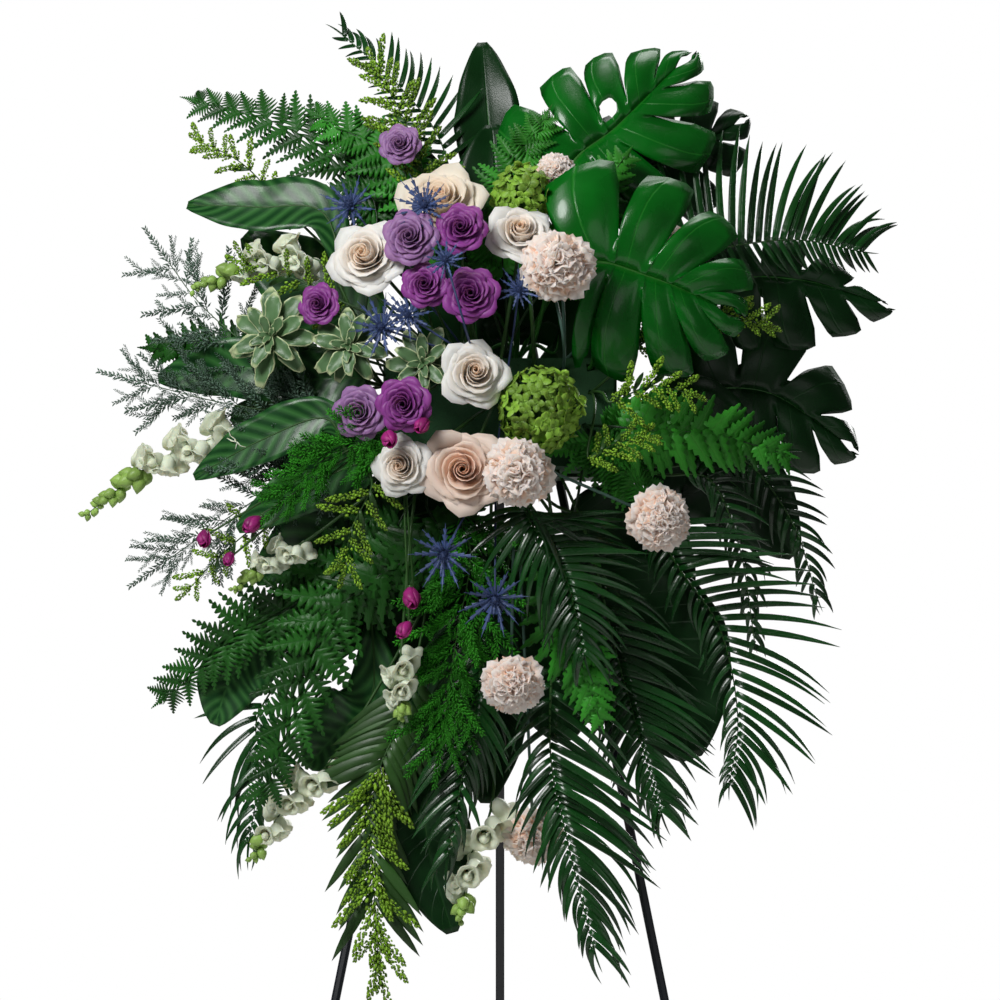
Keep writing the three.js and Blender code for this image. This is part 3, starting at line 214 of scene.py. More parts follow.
def bloom_place(row):
    """Place, way it looks, size and roll of a bloom: it looks outward from the middle of the spray."""
    x, y, layer, size, *more = row
    p = spot((x, y), layer)
    tilt = more[0] if more else (0, 0)
    axis = Vector((p.x / OUTWARD[0] + tilt[0], -1, p.z / OUTWARD[1] + tilt[1])).normalized()
    return p, axis, size, more[1] if len(more) > 1 else x


def bloom_line(place, row, low, thick, first):
    """The line of the stem that carries a bloom, with its radius."""
    p, axis, size, _ = bloom_place(row)
    end = p + axis * (low * size)
    neck = end - axis * min(NECK, size * 0.7)
    run = Run(place, [(neck.x + VIEW[0], VIEW[1] - neck.z)], (row[2], row[2]))
    way = [*run.way[:3], neck, end]
    start = 0 if first else 0.25
    return [(curve_point(way, start + (1 - start) * i / 14), thick) for i in range(15)]


# Matrices that place a shape


def grid_of(p, x, y, z):
    """A four by four matrix from a place and three columns."""
    return np.array([[x.x, y.x, z.x, p.x], [x.y, y.y, z.y, p.y], [x.z, y.z, z.z, p.z], [0, 0, 0, 1]])


def seat(p, axis, roll=0.0, size=1.0, squash=1.0):
    """A matrix that stands a shape on a point, with its own Z along the axis."""
    z = axis.normalized()
    x = UP.cross(z)
    x = x.normalized() if x.length > 0.1 else Vector((1, 0, 0))
    y = z.cross(x)
    c, s = math.cos(roll), math.sin(roll)
    return grid_of(p, (x * c + y * s) * size, (y * c - x * s) * size, z * size * squash)


def lay(p, along, face, length, width=None, lift=1.0):
    """A matrix that lays a leaf on a point: its tip along one way, its upper side to another."""
    y = along.normalized()
    z = (face - y * face.dot(y)).normalized()
    return grid_of(p, y.cross(z) * (width or length), y * length, z * (width or length) * lift)


def raised(turn, rise):
    """The way of a petal that stands round Z and is raised by an angle, and the way its upper side faces."""
    away = Vector((math.cos(turn), math.sin(turn), 0))
    return away * math.cos(rise) + UP * math.sin(rise), UP * math.cos(rise) - away * math.sin(rise)


def moved(up, scale=(1, 1, 1), across=0.0):
    """A matrix, alone in a list, that scales a shape and then moves it."""
    return [np.array(Matrix.Translation((across, 0, up)) @ Matrix.Diagonal((*scale, 1)))]


def turns(count, start=0.0):
    """Matrices for copies spread evenly round Z."""
    return [np.array(Matrix.Rotation(2 * math.pi * i / count + start, 4, "Z")) for i in range(count)]


def branch(along, over, degrees, side):
    """The way of a side branch, at an angle to its stem."""
    angle = math.radians(degrees)
    return along * math.cos(angle) + over * (side * math.sin(angle))


def dome(count, depth):
    """Ways spread evenly over a ball, from its top down by a depth."""
    for i in range(count):
        h = 1 - depth * (i + 0.5) / count
        flat = math.sqrt(max(0, 1 - h * h))
        yield Vector((math.cos(i * GOLDEN) * flat, math.sin(i * GOLDEN) * flat, h))


# Shapes held as arrays, so that many copies can be laid out at once


class Form:
    """Corners, faces, leaf coordinates, material number and tone of a shape."""

    def __init__(self, *arrays):
        self.co, self.loops, self.totals, self.uv, self.slots, self.tone = arrays

    @classmethod
    def of(cls, mesh):
        """Takes the shape of a mesh, and removes the mesh."""
        co = np.empty(len(mesh.vertices) * 3)
        mesh.vertices.foreach_get("co", co)
        loops = np.empty(len(mesh.loops), dtype=np.int64)
        mesh.loops.foreach_get("vertex_index", loops)
        totals = np.empty(len(mesh.polygons), dtype=np.int64)
        mesh.polygons.foreach_get("loop_total", totals)
        uv = np.zeros(len(mesh.loops) * 2)
        if mesh.uv_layers:
            mesh.uv_layers[0].data.foreach_get("uv", uv)
        bpy.data.meshes.remove(mesh)
        slots = np.zeros(len(totals), dtype=np.int64)
        return cls(co.reshape(-1, 3), loops, totals, uv.reshape(-1, 2), slots, np.full(len(co) // 3, 0.5))

    @classmethod
    def join(cls, forms):
        starts = np.cumsum([0] + [len(f.co) for f in forms])
        loops = np.concatenate([f.loops + s for f, s in zip(forms, starts)])
        co, totals, uv, slots, tone = (
            np.concatenate([getattr(form, name) for form in forms])
            for name in ("co", "totals", "uv", "slots", "tone")
        )
        return cls(co, loops, totals, uv, slots, tone)

    def painted(self, slot):
        """The same shape with another of its piece's materials."""
        return Form(self.co, self.loops, self.totals, self.uv, np.full_like(self.slots, slot), self.tone)

    def toned(self, tone):
        return Form(self.co, self.loops, self.totals, self.uv, self.slots, np.full_like(self.tone, tone))

    def copies(self, matrices, chance=None, spread=0.5):
        """Copies by matrices, each with a tone of its own if there is a chance for it."""
        m = np.array(matrices)
        n = len(m)
        co = np.einsum("nij,vj->nvi", m[:, :3, :3], self.co) + m[:, None, :3, 3]
        loops = (self.loops[None] + (np.arange(n) * len(self.co))[:, None]).ravel()
        tone = np.tile(self.tone, n)
        if chance:
            shift = np.array([chance.uniform(-spread, spread) for _ in range(n)])
            tone = np.clip(tone + np.repeat(shift, len(self.co)), 0, 1)
        totals, uv, slots = np.tile(self.totals, n), np.tile(self.uv, (n, 1)), np.tile(self.slots, n)
        return Form(co.reshape(-1, 3), loops, totals, uv, slots, tone)

    def piece(self, node, slot, materials):
        """The finished piece, in metres in the frame, standing for a solid of the frame."""
        name = f"dressed_{node}"
        mesh = bpy.data.meshes.new(name)
        mesh.vertices.add(len(self.co))
        mesh.vertices.foreach_set("co", (self.co * MM + np.array(CENTRE)).ravel())
        mesh.loops.add(len(self.loops))
        mesh.loops.foreach_set("vertex_index", self.loops)
        mesh.polygons.add(len(self.totals))
        mesh.polygons.foreach_set("loop_start", np.cumsum(self.totals) - self.totals)
        mesh.polygons.foreach_set("material_index", self.slots)
        mesh.polygons.foreach_set("use_smooth", np.ones(len(self.totals), dtype=bool))
        mesh.uv_layers.new(name="UVMap").data.foreach_set("uv", self.uv.ravel())
        mesh.attributes.new("tone", "FLOAT", "POINT").data.foreach_set("value", self.tone)
        mesh.update(calc_edges=True)
        mesh.validate()
        for material in materials:
            mesh.materials.append(material)
        obj = bpy.data.objects.new(name, mesh)
        bpy.context.scene.collection.objects.link(obj)
        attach(obj, "stand")
        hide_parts(node)


def shaped(bm, place, thick=0.0):
    """Moves the corners of a fresh shape to their places, and gives a sheet its thickness."""
    layer = bm.loops.layers.uv.new("UVMap")
    for face in bm.faces:
        for loop in face.loops:
            loop[layer].uv = loop.vert.co.xy
    for vert in bm.verts:
        vert.co = place(vert)
    bmesh.ops.remove_doubles(bm, verts=bm.verts[:], dist=SAME_PLACE)
    bmesh.ops.recalc_face_normals(bm, faces=bm.faces[:])
    if thick:
        thicken(bm, thick)
    mesh = bpy.data.meshes.new("form")
    bm.to_mesh(mesh)
    bm.free()
    return Form.of(mesh)


def thicken(bm, thick):
    """Gives a sheet its thickness, and draws back a corner that a sharp fold would throw out as a spike."""
    own = bm.verts.layers.int.new("own")
    start = {}
    for i, vert in enumerate(bm.verts):
        vert[own] = i + 1
        start[i + 1] = vert.co.copy()
    bmesh.ops.solidify(bm, geom=bm.faces[:], thickness=thick)
    own = bm.verts.layers.int["own"]
    furthest = 1.6 * thick
    for vert in bm.verts:
        step = vert.co - start[vert[own]]
        if step.length > furthest:
            vert.co = start[vert[own]] + step * (furthest / step.length)
    bm.verts.layers.int.remove(own)


def pierce(bm, middle, half):
    """Cuts an oval hole in a flat grid: the faces go, and the corners round the gap move onto the oval."""
    gone = [f for f in bm.faces if all(abs((f.calc_center_median() - middle)[i]) < half[i] for i in (0, 1))]
    rim = {v for f in gone for v in f.verts}
    bmesh.ops.delete(bm, geom=gone, context="FACES")
    for vert in (v for v in rim if v.is_valid):
        off = vert.co - middle
        angle = math.atan2(off.y / half[1], off.x / half[0])
        vert.co = middle + Vector((half[0] * math.cos(angle), half[1] * math.sin(angle), 0))


def sheet(columns, rows, place, thick=0.0, holes=()):
    """A sheet shaped by place(u, v), u -1 to 1 across and v 0 to 1 along, maybe with oval holes."""
    bm = bmesh.new()
    unit = Matrix.Translation((0.5, 0.5, 0))
    bmesh.ops.create_grid(bm, x_segments=columns, y_segments=rows, size=0.5, matrix=unit)
    for column, row in holes:
        pierce(bm, Vector((column / columns, row / rows, 0)), (2 / columns, 1 / rows))
    return shaped(bm, lambda vert: place(vert.co.x * 2 - 1, vert.co.y), thick)


def pod(sides, rings, place):
    """A closed slim shape: place(across from -1 to 1, depth from -1 to 1, v from 0 to 1 along)."""
    bm = bmesh.new()
    bmesh.ops.create_uvsphere(bm, u_segments=sides, v_segments=rings, radius=1)
    sights = {}
    for vert in bm.verts:
        angle = math.atan2(vert.co.y, vert.co.x)
        v = math.acos(max(-1.0, min(1.0, -vert.co.z))) / math.pi
        sights[vert] = (math.cos(angle), math.sin(angle), v)
        vert.co = (0.5 + 0.5 * math.cos(angle), v, 0)
    return shaped(bm, lambda vert: place(*sights[vert]))


def stems(lines, sides=1):
    """Round stems along lines of (place, radius), with closed ends."""
    curve = bpy.data.curves.new("stems", "CURVE")
    curve.dimensions = "3D"
    curve.bevel_depth = 1
    curve.bevel_resolution = sides
    curve.use_fill_caps = True
    for line in lines:
        spline = curve.splines.new("POLY")
        spline.points.add(len(line) - 1)
        for point, (p, r) in zip(spline.points, line):
            point.co = (*p, 1)
            point.radius = r
    obj = bpy.data.objects.new("stems", curve)
    bpy.context.scene.collection.objects.link(obj)
    view = bpy.context.evaluated_depsgraph_get()
    mesh = bpy.data.meshes.new_from_object(obj.evaluated_get(view))
    bpy.data.objects.remove(obj)
    bpy.data.curves.remove(curve)
    bm = bmesh.new()
    bm.from_mesh(mesh)
    bmesh.ops.remove_doubles(bm, verts=bm.verts[:], dist=SAME_ON_STEM)
    bmesh.ops.recalc_face_normals(bm, faces=bm.faces[:])
    bm.to_mesh(mesh)
    bm.free()
    return Form.of(mesh)


# Rows of a piece that grows along its stem: the points of the front view, the layers at the first
# and last point, and what its maker below asks for.
# Rows of a bloom: across, down, layer, radius, and maybe a tilt and a roll.
# A bunch stands in the front of the foam, at a place across and up, or in its side, at an angle and a depth.
LAYOUT = {
    "monstera_upper": ("monstera", ("side", 63, 4), [
        [[(568, 170), (618, 122), (678, 62)], (3.6, 3.2), 66, 88, 5, -6, 4]]),
    "monstera_middle": ("monstera", ("front", 92, 46), [
        [[(590, 264), (655, 278), (716, 304)], (8, 7), 78, 90, 5, -6, 10]]),
    "dark_leaves_upper": ("monstera", ("side", 74, 0), [
        [[(618, 186), (680, 150), (738, 118)], (0.6, 0.4), 50, 56, 4, 0, 0],
        [[(494, 172), (488, 110), (482, 34)], (0.4, 0.2), 30],
        [[(452, 262), (400, 190), (352, 122)], (-0.6, -0.8), 46],
        [[(505, 262), (498, 190), (492, 120)], (1.8, 1.6), 42],
        [[(480, 346), (474, 300), (468, 236)], (-1.4, -1.4), 52],
        [[(556, 350), (560, 306), (568, 244)], (-1, -1), 46]]),
    "dark_leaves_right": ("monstera", ("side", 4, 0), [
        [[(724, 284), (800, 276), (884, 298)], (1.2, 0.8), 34, 62, 4, 0, 0],
        [[(706, 388), (775, 392), (846, 438)], (0.2, -0.2), 62, 74, 4, 0, 0],
        [[(676, 448), (738, 484), (800, 556)], (-0.6, -0.8), 46],
        [[(648, 432), (700, 436), (752, 458)], (0.6, 0.3), 54]]),
    "dark_leaves_lower": ("leaf", ("side", -66, 0), [
        [[(620, 596), (662, 670), (694, 762)], (0.6, 0.4), 66, 0.03],
        [[(432, 780), (428, 850), (452, 936)], (0.6, 0.4), 38, 0.03],
        [[(522, 566), (548, 650), (566, 744)], (0, -0.3), 58, 0.03],
        [[(590, 520), (640, 560), (676, 640)], (-0.5, -0.7), 50, 0.03],
        [[(490, 650), (488, 720), (486, 806)], (0.4, 0.2), 36, 0.03],
        [[(452, 560), (432, 640), (412, 752)], (-0.1, -0.1), 48, 0.03],
        [[(404, 520), (340, 590), (296, 676)], (-1, -1), 52, 0.03]]),
    "striped_leaves_left": ("leaf", ("side", 166, 4), [
        [[(325, 214), (255, 204), (183, 201)], (4.4, 4.2), 26, 0.05, 8],
        [[(322, 376), (240, 366), (154, 377)], (4, 4), 28],
        [[(366, 378), (320, 378), (262, 390)], (4.6, 4.4), 28],
        [[(366, 424), (300, 430), (228, 412)], (1.4, 1.2), 40],
        [[(354, 312), (304, 280), (240, 230)], (-1.2, -1), 40]]),
    "striped_leaves_lower": ("leaf", ("side", 206, 5), [
        [[(325, 418), (260, 440), (192, 477)], (7.3, 7.1), 22],
        [[(368, 460), (306, 486), (236, 530)], (5.2, 6.4), 24],
        [[(376, 492), (326, 524), (252, 582)], (2.6, 2.4), 36],
        [[(262, 642), (228, 680), (211, 728)], (1.2, 1), 30],
        [[(372, 694), (335, 735), (306, 770)], (1.2, 1), 34]]),
    "palm_upper_right": ("palm", ("side", 30, 2), [
        [[(690, 258), (790, 236), (872, 248)], (2.4, 2.2), 118, 42, (78, 34), 13]]),
    "palm_right": ("palm", ("side", -22, 2), [
        [[(675, 560), (722, 630), (740, 720), (731, 788)], (3.2, 3.2), 112, 40, (58, 24), 12, 0.1],
        [[(712, 480), (742, 550), (757, 645)], (4.4, 4.2), 46, 30, (45, 20), 7],
        [[(740, 455), (795, 520), (822, 600)], (1.5, 1.5), 56, 40, (50, 18), 7]]),
    "palm_centre": ("palm", ("side", -66, 6), [
        [[(528, 518), (565, 575), (584, 656)], (8, 7.4), 90, 70, (62, 22), 10]]),
    "palm_lower_right": ("palm", ("side", -44, 3), [
        [[(616, 650), (638, 730), (662, 815)], (3, 3), 92, 60, (52, 18), 11]]),
    "palm_bottom": ("palm", ("side", -52, 5), [
        [[(550, 742), (565, 830), (594, 950)], (5, 4.6), 114, 60, (50, 12), 12]]),
    "palm_lower_left": ("palm", ("side", 250, 4), [
        [[(480, 668), (468, 745), (448, 856)], (4, 3.8), 62, 90, (46, 14), 10],
        [[(264, 700), (258, 770), (246, 845)], (0.2, 0.2), 60, 70, (46, 16), 7]]),
    "palm_top": ("palm", ("side", 112, 0), [
        [[(445, 150), (400, 82), (340, 26)], (1, 1), 32, 58, (58, 20), 9]]),
    "fern_upper_left": ("fern", ("side", 160, 2), [
        [[(372, 196), (290, 125), (190, 93)], (2.2, 2.2), 44, 6],
        [[(300, 368), (225, 352), (146, 346)], (2, 2), 24, 5, "plain"]]),
    "fern_top": ("fern", ("side", 84, 6), [
        [[(502, 238), (515, 170), (545, 114)], (4.2, 4.2), 40, 5],
        [[(446, 226), (388, 154), (314, 110)], (3.4, 3.2), 44, 5, "lance"],
        [[(566, 262), (590, 205), (626, 154)], (5.6, 5.6), 30, 5, "plain"]]),
    "fern_centre": ("fern", ("front", 86, -14), [
        [[(592, 446), (618, 462), (656, 506)], (5.6, 5), 40, 5],
        [[(612, 428), (640, 424), (680, 412)], (4.2, 4.4), 34, 4, "lance"],
        [[(556, 610), (580, 660), (600, 720)], (6.2, 6.2), 30, 5, "plain"],
        [[(650, 430), (715, 434), (788, 454)], (6.6, 5.6), 34, 5, "plain"]]),
    "fern_lower_left": ("fern", ("side", 222, 4), [
        [[(388, 540), (330, 610), (298, 700), (262, 798)], (4.4, 4.6), 62, 6, "lance"],
        [[(300, 600), (232, 640), (160, 700)], (3, 3), 42, 5, "lance"],
        [[(438, 540), (372, 580), (304, 636)], (4.8, 4.6), 38, 5, "plain"]]),
    "asparagus_grey": ("asparagus", ("side", 184, 4), [
        [[(300, 415), (220, 402), (140, 382)], (4.9, 4.6), 2, 92, 15],
        [[(300, 470), (230, 515), (165, 560)], (4.9, 4.6), 2, 88, 15],
        [[(240, 340), (195, 300), (166, 262)], (3.2, 3), 1, 66, 14]]),
    "asparagus_green": ("asparagus", ("front", -70, -42), [
        [[(392, 436), (330, 456), (284, 500)], (9.2, 9), 2, 64, 17],
        [[(470, 548), (456, 640), (442, 735)], (5.4, 5.2), 3, 92, 17]]),
    "goldenrod_upper_left": ("goldenrod", ("side", 136, 5), [
        [[(425, 185), (405, 120), (374, 62)], (5.4, 5.2), 4, 50],
        [[(290, 212), (240, 160), (196, 136)], (3.4, 3.2), 3, 36],
        [[(340, 300), (290, 276), (242, 262)], (6, 6), 2, 36]]),
    "goldenrod_right": ("goldenrod", ("front", 92, 20), [
        [[(640, 345), (700, 312), (765, 322)], (4.8, 4.6), 4, 44],
        [[(612, 402), (650, 386), (686, 392)], (8.8, 8.4), 2, 36],
        [[(588, 458), (614, 444), (642, 438)], (9.6, 9.4), 2, 30]]),
    "goldenrod_bottom": ("goldenrod", ("side", 236, 3), [
        [[(408, 700), (372, 800), (378, 962)], (3, 3), 7, 60, 36]]),
    "goldenrod_left": ("goldenrod", ("side", 194, 6), [
        [[(262, 520), (218, 556), (186, 590)], (5.6, 5.4), 2, 30],
        [[(372, 486), (352, 528), (345, 566)], (8.8, 8.6), 2, 36]]),
    "hydrangea_centre": ("hydrangea", ("front", 40, 6), [[540, 410, 9.4, 42, (0, 0), 0]]),
    "hydrangea_upper": ("hydrangea", ("front", 34, 46, 0.9), [[522, 194, 7.2, 28, (0, 0), 0]]),
    "rose_white_left": ("rose", None, [[367, 257, 10.4, 35, (-0.1, 0.1), 0.3]]),
    "rose_cream": ("rose", None, [[440, 203, 8.2, 40, (0, 0.35), 0.8]]),
    "rose_white_upper": ("rose", None, [[520, 233, 10, 30, (0, 0.3), 0.2]]),
    "rose_white_centre": ("rose", None, [[474, 374, 10.8, 31, (0.2, 0.2), 0.5]]),
    "rose_white_low": ("rose", None, [[402, 466, 10.4, 27, (-0.1, 0.1), 1.1]]),
    "rose_peach": ("rose", None, [[464, 470, 10.6, 38, (0, 0.15), 0.1]]),
    "rose_stems": ("rose_stems", ("front", -6, 8, 0.04), []),
    "spray_roses_purple": ("spray_rose", ("front", -36, 40, 0.1), [
        [461, 229, 12.4, 22], [425, 285, 11.8, 20], [471, 295, 12, 24], [318, 304, 8.8, 18],
        [404, 405, 12.4, 23]]),
    "spray_roses_lavender": ("spray_rose", ("front", -72, 34, 0.45), [
        [410, 238, 12.2, 24], [399, 142, 7.4, 18], [360, 413, 10.4, 23]]),
    "rose_buds": ("bud", ("front", -92, -8, 0.9), [
        [203, 535, 8.2, 10], [256, 521, 8.6, 11], [229, 556, 8.2, 8], [411, 593, 8.6, 12],
        [407, 626, 8.6, 10], [390, 436, 12, 11], [425, 423, 12.2, 10]]),
    "carnations_upper": ("back_carnation", ("front", 64, 44), [
        [557, 265, 12, 38, (0, 0.1)], [556, 168, 6.2, 22, (0, 0.3)]]),
    "carnation_centre": ("carnation", None, [[519, 474, 12.6, 36]]),
    "carnation_right": ("carnation", None, [[661, 520, 10.2, 34]]),
    "carnation_lower": ("carnation", None, [[512, 687, 8.6, 32]]),
    "carnation_bottom": ("carnation", None, [[535, 842, 1.4, 32]]),
    "carnation_stems": ("carnation_stems", ("front", 14, -44, 0.4), []),
    "carnation_back": ("back_carnation", ("side", 40, 5), [[676, 243, 5, 24, (0.2, 0.2)]]),
    "snapdragon_left": ("snapdragon", ("side", 190, 6), [
        [[(262, 428), (165, 455), (80, 515)], (5.6, 5.2), 5, 3, 18]]),
    "snapdragon_upper": ("snapdragon", ("side", 152, 6), [
        [[(322, 262), (262, 258), (190, 288)], (5.6, 5.2), 4, 2, 16]]),
    "snapdragon_middle": ("snapdragon", ("front", -78, -46), [
        [[(310, 538), (270, 560), (232, 590)], (6.4, 6), 3, 2, 13],
        [[(402, 640), (400, 680), (402, 718)], (6.6, 6.6), 3, 1, 14]]),
    "snapdragon_low": ("snapdragon", ("side", 262, 2), [
        [[(338, 752), (290, 800), (250, 862)], (2.2, 2.2), 4, 1, 16],
        [[(494, 790), (470, 860), (461, 922)], (1.6, 1.6), 3, 1, 18]]),
    "thistle_upper": ("holly", ("front", -23.5, 46, 0.88), [
        [425, 207, 11.6, 8], [350, 205, 8.2, 8], [446, 262, 13.6, 6], [382, 328, 10, 8],
        [408, 316, 10.8, 7]]),
    "thistle_lower": ("holly", ("front", -4, -46, 0.2), [
        [519, 291, 11, 6], [444, 554, 9, 9], [495, 598, 9, 9]]),
    "pittosporum": ("rosette", ("front", -98, 40), [
        [272, 336, 8.2, 42], [350, 346, 8.6, 36], [424, 364, 9.4, 32]]),
}


# Leaves, petals and florets, each one unit long unless it says otherwise


def leaflet(width, fold, droop, rows=7, sharp=0.62):
    """Narrow folded blade that bends down to a point."""

    def place(u, v):
        w = width * hump(v**sharp) ** 0.85 + width * 0.4 * (v < 0.01)
        return Vector((u * w, v * (1 - 0.25 * droop * v), abs(u) * w * fold - droop * v * v))

    return sheet(2, rows, place, 0.008)


def pinna(pairs, width, droop):
    """Leaflet of a compound fern: pairs of toothed lobes that are cut to the rib and lean to its tip."""
    stops = ((0, 0.1), (0.3, 0.86), (0.62, 1.0), (0.9, 0.42))
    rows = pairs * 4

    def place(u, v):
        pair, part = divmod(round(v * rows), 4)
        along, cut = stops[part]
        s = (pair + along) / pairs
        w = width * (1 - 0.93 * s**1.7) * (0.62 + 0.38 * hump(s * 1.6 + 0.14))
        cut = mix(cut, 1, 0.1) if pair < pairs else 0.02
        reach = abs(u) * w * cut
        y = s + 0.62 * reach if pair < pairs else 1.0
        ridge = 0.3 * w * hump(abs(u) * 1.1) * (cut > 0.6)
        z = 0.1 * reach + ridge * 0.35 - droop * s * s
        return Vector((math.copysign(reach, u), y * (1 - 0.15 * droop * y), z))

    return sheet(4, rows, place, 0.009)


def toothed_pinna(teeth, width, cut, droop, lean=0.5):
    """Simple fern leaflet: both edges cut into teeth that point to its tip."""
    rows = teeth * 2

    def place(u, v):
        tooth = round(v * rows) % 2
        w = width * (1 - v**2.2) * (0.72 + 0.28 * hump(v * 1.8 + 0.1))
        reach = w * (1 if tooth else 1 - cut)
        y = v + (lean / rows * abs(u) if tooth else 0)
        return Vector((u * reach, y * (1 - 0.2 * droop * y), 0.12 * abs(u) * w - droop * v * v))

    return sheet(2, rows, place, 0.01)


def palm_blade(width, droop, bend):
    """Stiff strap of a palm frond: even in width, then drawn to a point, folded and curved to one side."""

    def place(u, v):
        w = width * (1 - v**3) * min(1, 0.8 + v * 3)
        along = v * (1 - 0.3 * abs(bend) * v)
        return Vector((u * w + bend * v**2.2, along, abs(u) * w * 0.5 - droop * v * v))

    return sheet(2, 9, place, 0.008)


def rosette_leaf(width, fold, wave, droop):
    """Small broad leaf, widest past its middle, with a blunt tip and a waved edge."""

    def place(u, v):
        w = width * math.sin(math.pi * (0.04 + 0.92 * v**1.35)) ** 0.62
        z = abs(u) * w * fold + wave * u * u * math.sin(v * 12 + u * 2) - droop * v * v
        return Vector((u * w, v, z))

    return sheet(6, 8, place, 0.015)


def bead(sides, rings, width, blunt=1.0):
    """Closed bud, widest low down where blunt is under one."""

    def place(a, b, v):
        w = width * math.sin(math.pi * v**blunt)
        return Vector((a * w, b * w, v))

    return pod(sides, rings, place)


def needle(width):
    return pod(3, 2, lambda a, b, v: Vector((a * width * hump(v), v, b * width * hump(v))))


def rose_petal(radius, top, wrap, curl, point=0.0, twist=0.0, columns=8, rows=7):
    """One petal of a rose of radius one: part of a cup whose rim rolls outward, more so at the sides."""

    def place(u, v):
        t = v * (1 - (0.2 + 0.2 * point) * abs(u) ** (2.8 - 1.2 * point))
        a = math.radians(wrap) * u * (0.42 + 0.58 * min(1, v * 1.6))
        r = radius * math.sin(min(1, t * 1.08) * math.pi / 2) ** 0.75 * (1 + twist * u) + 0.03
        roll = max(0, (t - 0.6 + 0.12 * point * u * u) / 0.4) ** 2
        r += curl * roll * (1 + 0.25 * point * (1 - abs(u)))
        r += 0.2 * curl * v * v * math.sin(u * 4.2 + radius * 21)
        z = -0.5 + (top + 0.5) * t**1.1 - curl * 0.6 * roll * (1 + point * u * u)
        z += (0.02 + 0.06 * point) * v * math.cos(u * 5 + top * 9)
        return Vector((r * math.cos(a), r * math.sin(a), z))

    return sheet(columns, rows, place, 0.014)


def ruffled_petal(phase):
    """Carnation petal: a fan with a fringed, waved edge, deeper in tone at its foot, where its peach and
    painted shade lie in the depth of the flower.
    """
    columns = 14

    def place(u, v):
        fringe = 0.08 if round((u + 1) / 2 * columns) % 2 else 0.0
        a = 0.85 * u * (0.3 + 0.7 * v)
        r = v * (1 - fringe * v**6 - 0.12 * u * u)
        z = 0.11 * v * v * math.sin(u * 4.4 + phase) + 0.08 * v**4 * math.sin(u * 12.5 + phase * 2)
        return Vector((r * math.sin(a), r * math.cos(a), z + 0.14 * v * v - 0.24 * v**4))

    form = sheet(columns, 4, place, 0.013)
    # Full tone over the lower part of the petal, none at the rim: it leads to the peach and painted shade of
    # the depth
    form.tone = np.clip(2.5 - 2.6 * form.co[:, 1], 0, 1)
    return form


def hydrangea_floret():
    """Four rounded petals round a small eye, of radius one."""
    width, cup = 0.42, 0.22

    def place(u, v):
        w = width * hump(0.08 + v * 0.84) ** 0.6 * (1 if v < 0.99 else 0.75)
        return Vector((u * w, v, cup * v * v + 0.18 * cup * abs(u)))

    petals = sheet(2, 3, place, 0.03).copies(turns(4))
    return Form.join([petals, bead(4, 3, 0.09).copies(moved(0, (1, 1, 0.2)))])


def snapdragon_floret():
    """A swollen tube along Z that opens into two upper and three lower lobes."""

    def place(u, v):
        a = math.pi * u
        upper = math.cos(a) > 0
        lobes = abs(math.cos(a * (1.0 if upper else 1.5)))
        flare = max(0, (v - 0.5) / 0.5)
        r = 0.12 + 0.3 * hump(v * 1.25) ** 0.6 * (v < 0.8) + 0.16 * (v >= 0.8)
        r = (0.05 if v < 0.01 else r) + flare**1.3 * (0.36 + 0.22 * lobes)
        z = 1.3 * v - 0.2 * flare**2 * (0.6 if upper else 1) + 0.05 * flare * math.sin(a * 7)
        return Vector((r * math.cos(a), r * math.sin(a), z))

    return Form.join([sheet(18, 7, place, 0.03), bead(8, 5, 0.3).copies(moved(0.3, across=-0.1))])


def spiny_bract():
    """Sea holly bract: a stiff narrow blade with spines along both edges."""

    def place(u, v):
        spine = round(v * 10) in (3, 5, 7) and abs(u) > 0.9
        w = 0.036 * (1 - v * 0.85)
        wide, ahead = (3.4, 0.1) if spine else (1, 0)
        return Vector((u * w * wide, v + ahead, 0.1 * abs(u) * w + 0.12 * v * v))

    return sheet(2, 10, place, 0.016)


def ring_of(form, count, lean, height, long, roll=0.0, chance=None):
    """Copies of a leaf or petal that stand round the Z axis, raised by an angle."""
    vary = chance.uniform if chance else lambda low, high: 0
    found = []
    for i in range(count):
        turn = roll + 2 * math.pi * (i + vary(-0.22, 0.22)) / count
        rise = math.radians(lean) + vary(-0.12, 0.12)
        size = long * (chance.uniform(0.88, 1.1) if chance else 1)
        found.append(lay(UP * height, *raised(turn, rise), size))
    return form.copies(found, chance, 0.25)


def calyx(size, low):
    """Green cup and five sepals under a bloom of radius one."""
    cup = bead(8, 6, 0.2, 1.2).copies(moved(low - 0.22, (size, size, 0.4)))
    return Form.join([cup, ring_of(leaflet(0.09, 0.2, 0.4, 5), 5, -12, low, 0.5 * size)])


# Pieces that grow along the run of their stem


